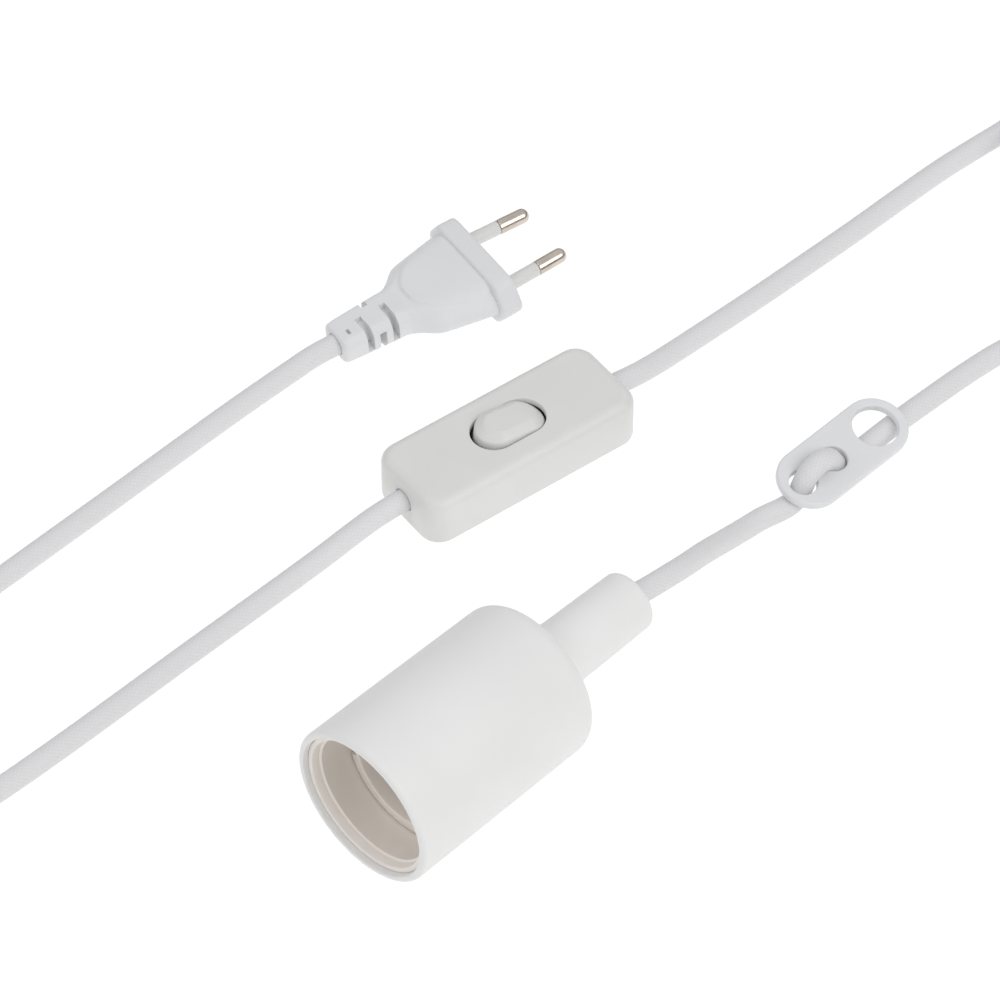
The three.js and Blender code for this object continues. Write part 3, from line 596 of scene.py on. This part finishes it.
def braid_material():
    """Two families of flat strands crossing over and under each other round the cable, coloured darker in the
    gaps between them as painted shade.
    """
    s = Shader("braid", 0.62)
    uv = s.node("ShaderNodeSeparateXYZ", Vector=s.coordinates("UV"))
    around = s.math("MULTIPLY", uv.outputs["X"], BRAID_CARRIERS)
    along = s.math("MULTIPLY", uv.outputs["Y"], BRAID_CARRIERS * 0.8)
    one = s.math("ADD", around, along)
    two = s.math("SUBTRACT", around, along)
    cell_one, cell_two = s.math("FLOOR", one), s.math("FLOOR", two)
    parity = s.math("MODULO", s.math("ABSOLUTE", s.math("ADD", cell_one, cell_two)), 2.0)
    over = s.math("GREATER_THAN", parity, 0.5)
    under = s.math("SUBTRACT", 1.0, over)
    part_one = s.math("SUBTRACT", one, cell_one)
    part_two = s.math("SUBTRACT", two, cell_two)

    def strand(across, run):
        crown = s.math("SINE", s.math("MULTIPLY", across, math.pi))
        dip = s.math("SINE", s.math("MULTIPLY", run, math.pi))
        body = s.math("MULTIPLY", s.math("POWER", crown, 0.5), s.math("POWER", dip, 0.35))
        yarn = s.math("ABSOLUTE", s.math("SINE", s.math("MULTIPLY", across, math.pi * YARNS)))
        return s.math("ADD", s.math("MULTIPLY", body, 0.75), s.math("MULTIPLY", yarn, 0.25))

    high_one = s.math("MULTIPLY", strand(part_one, part_two), over)
    high_two = s.math("MULTIPLY", strand(part_two, part_one), under)
    height = s.math("ADD", high_one, high_two)
    fuzz = s.noise(2600.0, 2.0, 0.7)
    height = s.math("ADD", height, s.math("MULTIPLY", fuzz, 0.35))
    # Colour follows the strand height: darker where strands dip under and in the gaps between them, which is
    # painted shade; the fuzz noise adds a random fibre tone.
    s.color(s.ramp(height, (0.64, 0.64, 0.65), (0.72, 0.72, 0.73), 0.15, 0.85))
    s.roughness(s.ramp(fuzz, 0.5, 0.75))
    s.bump(height, 0.06, 0.5)
    s.set(Sheen_Weight=0.25, Sheen_Roughness=0.4)
    return s.material


def strap_material():
    """Hook-and-loop band: short loops all over a dense cloth."""
    s = Shader("strap", 0.85)
    loops = s.noise(3200.0, 3.0, 0.8)
    s.color(s.ramp(loops, (0.50, 0.50, 0.51), (0.68, 0.68, 0.69), 0.35, 0.65))
    s.bump(loops, 0.15, 0.9)
    s.set(Sheen_Weight=0.3, Sheen_Roughness=0.5)
    return s.material


def silicone_material():
    s = Shader("silicone", 0.55)
    cloud = s.noise(35.0, 3.0)
    s.color(s.ramp(cloud, (0.785, 0.785, 0.78), (0.815, 0.815, 0.811)))
    dust = s.noise(900.0, 3.0, 0.7)
    s.roughness(s.ramp(dust, 0.5, 0.66))
    grain = s.noise(5200.0, 1.0)
    fine = s.bump(grain, 0.004, 0.5)
    s.bump(cloud, 0.12, 0.35, fine)
    s.set(
        Subsurface_Weight=0.15,
        Subsurface_Radius=(0.0016, 0.0015, 0.0014),
        Subsurface_Scale=1.0,
        Sheen_Weight=0.12,
        Sheen_Roughness=0.5,
    )
    return s.material


def make_materials():
    return {
        "silicone": silicone_material(),
        "white_plastic": plastic("white_plastic", (0.71, 0.71, 0.70), 0.32, 0.42, soft=0.05),
        "moulding": plastic("moulding", (0.73, 0.735, 0.745), 0.25, 0.5, soft=0.08),
        "adjuster_plastic": plastic("adjuster_plastic", (0.735, 0.74, 0.755), 0.3, 0.38, soft=0.1),
        "cream_plastic": plastic("cream_plastic", (0.90, 0.85, 0.80), 0.3, 0.45, soft=0.1),
        "nylon": plastic("nylon", (0.62, 0.60, 0.55), 0.3, 0.45, soft=0.2),
        "nickel": metal("nickel", (0.66, 0.59, 0.52), 0.16),
        "brass": metal("brass", (0.78, 0.58, 0.28), 0.26),
        "steel": metal("steel", (0.62, 0.63, 0.64), 0.32, brushed=True),
        "braid": braid_material(),
        "brown_core": plastic("brown_core", (0.16, 0.085, 0.045), 0.2, 0.4),
        "blue_core": plastic("blue_core", (0.06, 0.17, 0.42), 0.2, 0.4),
    }


def finish_piece(obj, slot, body, *replaced, material=None):
    obj.data.materials.clear()
    obj.data.materials.append(material or looks[slot])
    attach(obj, body)
    if replaced:
        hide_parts(*replaced)
    return obj


# ---- lampholder ----
def silicone_cover():
    inner = MOUTH_R - COVER_WALL
    length = HOLDER_LENGTH
    neck_root = [
        (SHOULDER_X + NECK_BLEND * (1 - math.cos(t)), NECK_R + NECK_FILLET * (1 - math.sin(t)))
        for t in np.linspace(0, math.pi / 2, 20)
    ]
    profile = [
        (1.5, inner),
        *arc(0.5, inner + 0.5, 0.5, 270, 180, 6),
        *arc(1.3, MOUTH_R - 1.3, 1.3, 180, 90, 8),
        (30.0, (MOUTH_R + SHOULDER_R) / 2),
        *arc(SHOULDER_X - 5, SHOULDER_R - 5, 5.0, 90, 0, 14),
        *neck_root,
        (80.0, NECK_R - 0.15),
        *arc(length - 1.8, NECK_R - 2.15, 1.8, 90, 0, 8),
        *arc(length - 0.6, 3.85, 0.6, 0, -90, 4),
        (length - 3.5, 3.25),
        (length - 4.5, 6.3),
        (57.6, 6.3),
        (57.6, 16.4),
        (54.9, inner),
    ]
    cover = revolve("silicone_cover", profile, HOLDER, 160)
    return finish_piece(cover, "silicone", "cord_set", "holder_cover")


def socket_skirt():
    profile = [
        (1.6, 18.1),
        *arc(1.9, 19.05, 0.3, 180, 90, 3),
        (30.0, 19.35),
        (30.0, 17.4),
        (4.6, 17.4),
        *arc(4.3, 17.55, 0.25, -60, -140, 3),
        (3.9, 17.85),
        (2.0, 17.9),
    ]
    skirt = revolve("socket_skirt", profile, HOLDER, 160)
    return finish_piece(skirt, "cream_plastic", "cord_set", "holder_skirt")


def socket_insert():
    profile = [
        (13.0, 14.7),
        *arc(13.4, 16.7, 0.4, 180, 90, 3),
        (15.5, 17.1),
        (15.5, 15.5),
        (38.5, 15.5),
        (38.5, 1e-4),
        (36.0, 1e-4),
        (36.0, 14.3),
        *arc(13.35, 14.65, 0.35, 270, 180, 3),
    ]
    insert = revolve("socket_insert", profile, HOLDER, 128)
    tools = []
    for degrees in (20, 140, 260):
        turn = HOLDER @ turned(degrees, "X")
        tools.append(block(12, 14.9, -1.6, 1.6, 15.3, 18, turn))
    tools.append(block(35, 40, 6.4, 8.1, -2.1, 2.1, HOLDER))
    tools.append(block(35, 40, -11.1, -9.4, -2.1, 2.1, HOLDER))
    boolean(insert, "DIFFERENCE", *tools)
    return finish_piece(insert, "cream_plastic", "cord_set", "holder_insert")


THREAD_PITCH = 3.63


def thread_shell():
    """The round lamp thread, a real helix in thin sheet."""
    start, end, crest, root = 20.6, 34.9, 13.45, 12.85
    count = 60

    def profile(angle):
        xs = np.linspace(start, end, count)
        swing = np.cos(2 * math.pi * xs / THREAD_PITCH - angle)
        fade = np.clip(np.minimum(xs - start, end - xs) / 1.0, 0, 1)
        radii = (crest + root) / 2 + (crest - root) / 2 * swing * fade
        outer = list(zip(xs, radii))
        inner = [(x, r - 0.38) for x, r in reversed(outer)]
        return [*outer, (35.6, radii[-1]), (35.6, 9.5), (35.2, 9.5), (35.2, radii[-1] - 0.38), *inner]

    shell = revolve("thread_shell", profile, HOLDER, 128, sharp=50.0)
    return finish_piece(shell, "nickel", "cord_set", "screw_shell")


# ---- in-line switch ----
def switch_shell():
    half, side, height, wall = SWITCH_HALF, SWITCH_SIDE, SWITCH_HEIGHT, SWITCH_WALL
    corner, edge = 5.5, 2.8

    def at(outline, z):
        return [(x, y, z) for x, y in outline]

    loops = [
        at(round_rect(half - 0.5, side - 0.5, corner - 0.5), 0.0),
        at(round_rect(half - 0.12, side - 0.12, corner - 0.1), 0.25),
        at(round_rect(half, side, corner), 0.9),
        at(round_rect(half, side, corner), 6.0),
    ]
    for i in range(10):
        t = math.pi / 2 * i / 9
        inset = edge * (1 - math.cos(t))
        radius = corner - inset * 0.75
        z = height - edge + edge * math.sin(t)
        loops.append(at(round_rect(half - inset, side - inset, radius), z))
    for t in (0.5, 1.5, 4.0):
        loops.append(at(round_rect(half - edge - t, side - edge - t * 0.6, 2.5), height))
    loops.append(at(round_rect(11.0, 6.6, 6.6), height))
    for inset, z in ((0.25, height), (0.42, height - 0.07), (0.5, height - 0.25), (0.5, height - 1.8)):
        loops.append(at(round_rect(11.0 - inset, 6.6 - inset, 6.6 - inset), z))
    loops.append(at(round_rect(half - wall - 1.2, side - wall - 1.2, 3.0), height - wall))
    loops.append(at(round_rect(half - wall, side - wall, 3.7), height - wall - 1.2))
    loops.append(at(round_rect(half - wall, side - wall, 3.7), 0.0))
    shell = loft("switch_shell", loops, SWITCH, ring=True)
    extras = []
    for s in (1, -1):
        y0, y1 = sorted((s * 6.6, s * 8.6))
        extras.append(block(-2.6, 2.6, y0, y1, 8.0, 12.6, SWITCH))
    for x, y in HOUSING_SCREWS:
        extras.append(rod(2.5, (x, y, 2.6), (x, y, 12.6), SWITCH))
    boolean(shell, "UNION", *extras)
    holes = [rod(1.5, (0, -9, ROCKER_PIVOT_Z), (0, -6, ROCKER_PIVOT_Z), SWITCH)]
    holes.append(rod(1.5, (0, 6, ROCKER_PIVOT_Z), (0, 9, ROCKER_PIVOT_Z), SWITCH))
    for x, y in HOUSING_SCREWS:
        holes.append(rod(1.5, (x, y, 2.0), (x, y, 11.0), SWITCH))
    for s in (1, -1):
        holes.append(port_tunnel(s))
    boolean(shell, "DIFFERENCE", *holes, sharp=32.0)
    return finish_piece(shell, "white_plastic", "cord_set", "switch_top")


def port_tunnel(side):
    """Arch-topped slot where the cord passes the end wall."""
    r = CORD_R + 0.3
    outline = [(r, -1.0), *arc(0, PORT_Z, r, 0, 180, 28), (-r, -1.0)]
    x0, x1 = sorted((side * (SWITCH_HALF - 3.5), side * (SWITCH_HALF + 1.5)))
    loops = [[(x, y, z) for y, z in outline] for x in (x0, x1)]
    return loft("tool", loops, SWITCH)


ROCKER_HALF, ROCKER_SIDE = 9.7, 5.8
ROCKER_TOP, CROWN_FLAT, CROWN_SLOPE = 16.3, 4.3, 15.0
ROCKER_BEVEL, ROCKER_BEVEL_DROP = 2.3, 1.45


def crown(x):
    """Height of the rocker's top along its length: flat in the middle, sloping to both ends."""
    over = max(abs(x) - CROWN_FLAT, 0.0)
    slope = math.tan(math.radians(CROWN_SLOPE))
    return ROCKER_TOP - slope * (math.sqrt(over * over + 0.25) - 0.5 if over else 0.0)


def rocker_button():
    def ring(inset, drop=None, z=None):
        outline = round_rect(ROCKER_HALF - inset, ROCKER_SIDE - inset, ROCKER_SIDE - inset, 120)
        return [(x, y, z if z is not None else crown(x) - drop) for x, y in outline]

    loops = [ring(0.6, z=9.6), ring(0.15, z=9.75), ring(0.0, z=10.2)]
    wide, drop = ROCKER_BEVEL, ROCKER_BEVEL_DROP
    edge = [(0.0, drop + 0.55), (0.04, drop + 0.25), (0.14, drop), (0.32, drop - 0.16)]
    ridge = [(wide - 0.35, 0.19), (wide - 0.15, 0.09), (wide + 0.05, 0.03), (wide + 0.3, 0.0)]
    for inset, down in edge + ridge:
        loops.append(ring(inset, drop=down))
    for inset in (3.3, 4.0, 4.8, 5.7):
        loops.append(ring(inset, drop=0.0))
    button = loft("rocker_button", loops, ROCKER)
    pivot = ROCKER_PIVOT_Z
    extras = [rod(1.2, (0, -8.3, pivot), (0, 8.3, pivot), ROCKER)]
    extras.append(rod(2.6, (0, 0, 6.4), (0, 0, 10.2), ROCKER))
    boolean(button, "UNION", *extras)
    boolean(button, "DIFFERENCE", rod(1.7, (0, 0, 6.0), (0, 0, 12.2), ROCKER), sharp=40.0)
    return finish_piece(button, "white_plastic", "rocker", "rocker")


# ---- plug ----
def octagon(half_y, half_z, flat, upright, soft):
    """A plug section with flat top and bottom, slanted shoulders and softened corners."""
    corners = [
        (half_y, upright),
        (flat, half_z),
        (-flat, half_z),
        (-half_y, upright),
        (-half_y, -upright),
        (-flat, -half_z),
        (flat, -half_z),
        (half_y, -upright),
    ]
    counts = [16, 24, 16, 8, 16, 24, 16, 8]
    pts = []
    for (y0, z0), (y1, z1), k in zip(corners, corners[1:] + corners[:1], counts):
        for i in range(k):
            pts.append((y0 + (y1 - y0) * i / k, z0 + (z1 - z0) * i / k))
    line = np.array(pts)
    reach = np.arange(-12, 13)
    weights = np.exp(-0.5 * (reach / soft) ** 2)
    weights /= weights.sum()
    smooth = sum(w * np.roll(line, int(k), axis=0) for w, k in zip(weights, reach))
    return [tuple(q) for q in smooth]


# x, half width, half height, half flat, half upright and softness along the moulding
PLUG_STATIONS = [
    (-46.0, 4.5, 3.4, 3.2, 1.9, 1.6),
    (-45.8, 4.9, 3.8, 3.5, 2.2, 1.6),
    (-45.2, 5.2, 4.1, 3.8, 2.4, 1.6),
    (-44.0, 5.35, 4.3, 3.9, 2.5, 1.6),
    (-40.0, 5.6, 4.5, 4.1, 2.5, 1.8),
    (-36.0, 5.9, 4.7, 4.2, 2.5, 2.0),
    (-31.0, 6.3, 5.0, 4.2, 2.5, 2.4),
    (-28.5, 6.5, 5.0, 4.3, 2.4, 2.4),
    (-27.0, 7.0, 5.1, 4.6, 2.3, 2.4),
    (-25.0, 8.6, 5.4, 5.6, 2.0, 2.6),
    (-23.0, 10.6, 5.7, 6.8, 1.7, 2.8),
    (-21.6, 11.8, 5.9, 7.8, 1.5, 2.8),
    (-20.0, 12.5, 6.0, 8.6, 1.4, 2.8),
    (-17.0, 13.2, 6.1, 9.4, 1.3, 2.8),
    (-13.0, 14.1, 6.15, 10.2, 1.2, 2.8),
    (-9.0, 15.0, 6.2, 10.9, 1.1, 2.8),
    (-6.0, 15.6, 6.2, 11.4, 1.0, 2.8),
]


def station(x):
    """The plug's section values at a place along it, in proportion between the stations."""
    xs = np.array([s[0] for s in PLUG_STATIONS])
    return [float(np.interp(x, xs, [s[k] for s in PLUG_STATIONS])) for k in range(1, 6)]


PANEL_TIP, PANEL_END, PANEL_RISE = -24.5, -6.0, 0.8


def panel_lift(x, y):
    """Rise of the thumb panel on the plug's flat faces, soft at its edge."""
    if not PANEL_TIP - 2 < x < PANEL_END + 1:
        return 0.0
    along = min(max((x - PANEL_TIP) / (PANEL_END - PANEL_TIP), 0.0), 1.0)
    half = 11.8 * math.sqrt(min(1.0, 1.0 - (1.0 - along) ** 2.2)) if along > 0 else 0.0
    inside = min(half - abs(y), (x - PANEL_TIP))
    t = min(max(inside / 0.8 + 0.3, 0.0), 1.0)
    return PANEL_RISE * t * t * (3 - 2 * t)


def plug_section(x):
    half_y, half_z, flat, upright, soft = station(x)
    pts = []
    sunk = min(max((x + 30.0) / 5.0, 0.0), 1.0)
    for y, z in octagon(half_y, half_z - PANEL_RISE * sunk, flat, upright, soft=soft):
        weight = max(0.0, abs(z) / half_z - 0.55) / 0.45
        z += math.copysign(panel_lift(x, y) * min(weight, 1.0), z)
        pts.append((x, y, z))
    return pts


SLOT_WIDTH, SLOT_INNER_R, SLOT_OUTER_R = 1.9, 3.3, 11.0


def relief_slot(x, start, end):
    """Cutter for one slot of the strain relief, part of a ring round the cord."""
    steps = 24
    far = x + SLOT_WIDTH
    loops = []
    for i in range(steps + 1):
        a = math.radians(start + (end - start) * i / steps)
        c, s = math.cos(a), math.sin(a)
        corners = [(x, SLOT_INNER_R), (far, SLOT_INNER_R), (far, SLOT_OUTER_R), (x, SLOT_OUTER_R)]
        loops.append([(px, r * c, r * s) for px, r in corners])
    return loft("tool", loops, PLUG)


def relief_slots():
    """Slots over the top and bottom, with shorter ones at the sides between them."""
    slots = []
    for x in (-39.6, -32.3):
        slots.append(relief_slot(x, 82, 203))
        slots.append(relief_slot(x, 262, 383))
    slots.append(relief_slot(-36.0, -22, 60))
    slots.append(relief_slot(-36.0, 158, 240))
    return slots


# x and inset of the round-edged flange at the plug's face
FLANGE_STATIONS = (
    (-5.9, 1.1),
    (-5.75, 0.5),
    (-5.35, 0.12),
    (-4.9, 0.0),
    (-1.0, 0.0),
    (-0.4, 0.15),
    (-0.1, 0.45),
    (0.0, 0.9),
)


def plug_flange():
    loops = []
    for x, inset in FLANGE_STATIONS:
        outline = octagon(17.6 - inset, 6.85 - inset, 13.4 - inset * 0.6, 0.9, soft=1.6)
        loops.append([(x, y, z) for y, z in outline])
    return loft("tool", loops, PLUG)


def bridge_block(name, x0, x1, grow):
    """The hard core behind the face, slanted like the moulding round it."""
    outline = octagon(12.3 + grow, 3.9 + grow, 8.6 + grow, 0.9, soft=1.0)
    return loft(name, [[(x, y, z) for y, z in outline] for x in (x0, x1)], PLUG)


def pin_place(side):
    return PLUG @ Matrix.Translation((0, side * PIN_SPACING / 2, 0)) @ turned(-PIN_LEAN * side, "Z")


def plug_bridge():
    bridge = bridge_block("plug_core", -10.7, -0.05, 0.0)
    bores = []
    for side in (1, -1):
        place = pin_place(side)
        bores.append(rod(1.6, (-14, 0, 0), (3, 0, 0), place))
        bores.append(rod(2.2, (-0.6, 0, 0), (3, 0, 0), place))
    boolean(bridge, "DIFFERENCE", *bores)
    return finish_piece(bridge, "moulding", "cord_set", "plug_bridge")


def plug_moulding():
    xs = [-46.0, -45.93, -45.75, -45.5, -45.2]
    xs += list(np.arange(-44.5, -6.0, 0.5)) + [-6.0, -5.5]
    body = loft("plug_moulding", [plug_section(x) for x in xs], PLUG, sharp=50.0)
    boolean(body, "UNION", plug_flange())
    cutters = relief_slots()
    cutters.append(block(-43.4, -42.5, -2.7, -0.9, 3.4, 7, PLUG))
    cutters.append(bridge_block("tool", -14.8, 1.0, 0.25))
    cutters.append(rod(CORD_R + 0.15, (-47, 0, 0), (-14, 0, 0), PLUG))
    boolean(body, "DIFFERENCE", *cutters, sharp=38.0)
    return finish_piece(body, "moulding", "cord_set", "plug_body")


def plug_pins():
    made = []
    profile = [
        (-11.5, 1e-4),
        (-11.5, 1.3),
        (10.0, 1.3),
        (10.0, 1.85),
        (10.15, 2.0),
        (PIN_LENGTH - 2.0, 2.0),
        *arc(PIN_LENGTH - 2.0, 0, 2.0, 78, 0.01, 10),
    ]
    sleeve = [(-0.3, 1.55), (-0.3, 1.9), (9.75, 1.9), (9.9, 1.8), (9.9, 1.55)]
    for name, s in (("left", 1), ("right", -1)):
        place = pin_place(s)
        pin = revolve(f"plug_pin_{name}", profile, place, 64)
        made.append(finish_piece(pin, "nickel", "cord_set", f"pin_{name}"))
        cover = revolve(f"plug_sleeve_{name}", sleeve, place, 64)
        made.append(finish_piece(cover, "white_plastic", "cord_set", f"pin_sleeve_{name}"))
    return made


# ---- adjuster ----
ADJUSTER = (
    placed((ADJUSTER_X0 + ADJUSTER_X1) / 2, ADJUSTER_Y, ADJUSTER_MIDDLE) @ turned(ADJUSTER_ROLL, "X")
)


def soft_edge(radius, steps=6):
    """Height above the mid-plane and inset of a plate's rounded edge, from the bottom up."""
    half = ADJUSTER_THICK / 2
    upper = []
    for i in range(steps + 1):
        t = math.pi / 2 * i / steps
        upper.append((half - radius + radius * math.sin(t), radius * (1 - math.cos(t))))
    return [(-z, inset) for z, inset in reversed(upper)] + upper


def hole_cutter(x, radius):
    """A hole with rounded mouths on both faces."""
    middle = (ADJUSTER_X0 + ADJUSTER_X1) / 2
    levels = [(z + 3.0, radius + inset) for z, inset in soft_edge(0.5)]
    levels = [(0.0, levels[0][1]), *levels, (6.0, levels[-1][1])]
    return rod(levels, (x - middle, 0, -3.0), (x - middle, 0, 3.0), ADJUSTER, sides=72)


def adjuster_plate(cord_line):
    half = (ADJUSTER_X1 - ADJUSTER_X0) / 2 + ADJUSTER_R
    loops = []
    for z, inset in soft_edge(0.75):
        outline = round_rect(half - inset, ADJUSTER_R - inset, ADJUSTER_R - inset, 180)
        loops.append([(x, y, z) for x, y in outline])
    plate = loft("adjuster_plate", loops, ADJUSTER, sharp=60.0)
    cutters = [hole_cutter(ADJUSTER_X1, HANG_HOLE_R)]
    cutters += [hole_cutter(BRIDGE_X + s * SMALL_HOLE_PITCH / 2, SMALL_HOLE_R) for s in (-1, 1)]
    boolean(plate, "DIFFERENCE", *cutters)
    near = [p for p in cord_line if 108 < p[0] < 127.5 and abs(p[1] - ADJUSTER_Y) < 2]
    boolean(plate, "DIFFERENCE", tube("tool", np.array(near), CORD_R + 0.06, 40), sharp=38.0)
    return finish_piece(plate, "adjuster_plastic", "cord_set", "cord_adjuster")


# ---- ties round the coils ----
def coil_strap(name, coil, node):
    half = coil["wide"] * CORD_R + 0.7
    low, high = 0.0, COIL_LIFT + 2 * CORD_D + 0.3 + 0.8
    middle = (low + high) / 2
    thick = 0.8
    place = (
        placed(coil["x"], coil["y"], 0, coil["tie"])
        @ Matrix.Translation((coil["r"], 0, middle))
    )
    edge = [(-3.7, 0.0), (-4.0, 0.12), (-4.0, thick - 0.12), (-3.7, thick)]
    loops = []
    for y, out in edge + [(-y, out) for y, out in reversed(edge)]:
        grow = out - thick
        outline = round_rect(half + thick + grow, (high - low) / 2 + grow, 2.2 + grow, 96)
        loops.append([(x, y, z) for x, z in outline])
    strap = loft(name, loops, place, ring=True, sharp=50.0)
    return finish_piece(strap, "nylon", "cord_set", node, material=looks["strap"])


# ---- stage ----
def stage():
    bm = bmesh.new()
    bmesh.ops.create_circle(bm, cap_ends=True, segments=64, radius=6.0)
    mesh = bpy.data.meshes.new("floor")
    bm.to_mesh(mesh)
    bm.free()
    floor = bpy.data.objects.new("floor", mesh)
    floor.location.z = -0.0001
    bpy.context.scene.collection.objects.link(floor)
    s = Shader("floor", 0.9)
    s.color((0.1, 0.1, 0.1, 1.0))
    s.set(Emission_Color=(1, 1, 1, 1), Emission_Strength=0.97, Specular_IOR_Level=0.0)
    mesh.materials.append(s.material)


def area_light(name, location, size, power, color=(1, 1, 1)):
    data = bpy.data.lights.new(name, "AREA")
    data.shape = "DISK"
    data.size = size
    data.energy = power
    data.color = color
    light = bpy.data.objects.new(name, data)
    light.location = location
    aim = Vector((0.07, 0.06, 0.0)) - Vector(location)
    light.rotation_euler = aim.to_track_quat("-Z", "Y").to_euler()
    bpy.context.scene.collection.objects.link(light)


def lighting():
    world = bpy.data.worlds.new("studio")
    bpy.context.scene.world = world
    world.use_nodes = True
    tree = world.node_tree
    direction = tree.nodes.new("ShaderNodeTexCoord").outputs["Generated"]
    split = tree.nodes.new("ShaderNodeSeparateXYZ")
    tree.links.new(direction, split.inputs[0])
    ramp = tree.nodes.new("ShaderNodeValToRGB")
    tree.links.new(split.outputs["Z"], ramp.inputs["Fac"])
    ramp.color_ramp.elements[0].position = 0.1
    ramp.color_ramp.elements[0].color = (0.22, 0.21, 0.20, 1)
    ramp.color_ramp.elements[1].position = 0.45
    ramp.color_ramp.elements[1].color = (0.95, 0.95, 0.96, 1)
    tree.links.new(ramp.outputs["Color"], tree.nodes["Background"].inputs["Color"])
    tree.nodes["Background"].inputs["Strength"].default_value = 0.75
    area_light("key", (0.35, -1.6, 1.5), 1.6, 15.0, (1.0, 0.995, 0.985))
    area_light("fill", (-1.5, 0.9, 1.6), 1.6, 7.0, (0.985, 0.99, 1.0))
    scene = bpy.context.scene
    scene.view_settings.view_transform = "Standard"
    scene.view_settings.look = "None"


# ---- build ----
add_camera()
looks = make_materials()
looks["strap"] = strap_material()

lamp_line = lamp_cord_line()
plug_line = plug_cord_line()
cord_lamp = finish_piece(
    tube("cord_lamp", lamp_line, CORD_R),
    "braid",
    "cord_set",
    "cord_to_lampholder",
    "coil_right",
    "cord_out_of_switch",
)
cord_plug = finish_piece(
    tube("cord_plug", plug_line, CORD_R),
    "braid",
    "cord_set",
    "cord_into_switch",
    "coil_left",
    "cord_to_plug",
)

for name, node in nodes.items():
    slot_name = next(p["material_slot"] for p in frame["record"]["subparts"] if p["node"] == name)
    for material_slot in node.material_slots:
        material_slot.material = looks[slot_name]

silicone_cover()
socket_skirt()
socket_insert()
thread_shell()
switch_shell()
rocker_button()
moulding = plug_moulding()
bridge = plug_bridge()
pins = plug_pins()
plate = adjuster_plate(lamp_line)
strap_left = coil_strap("strap_left", LEFT_COIL, "coil_tie_left")
strap_right = coil_strap("strap_right", RIGHT_COIL, "coil_tie_right")

stage()
lighting()

bpy.context.view_layer.update()
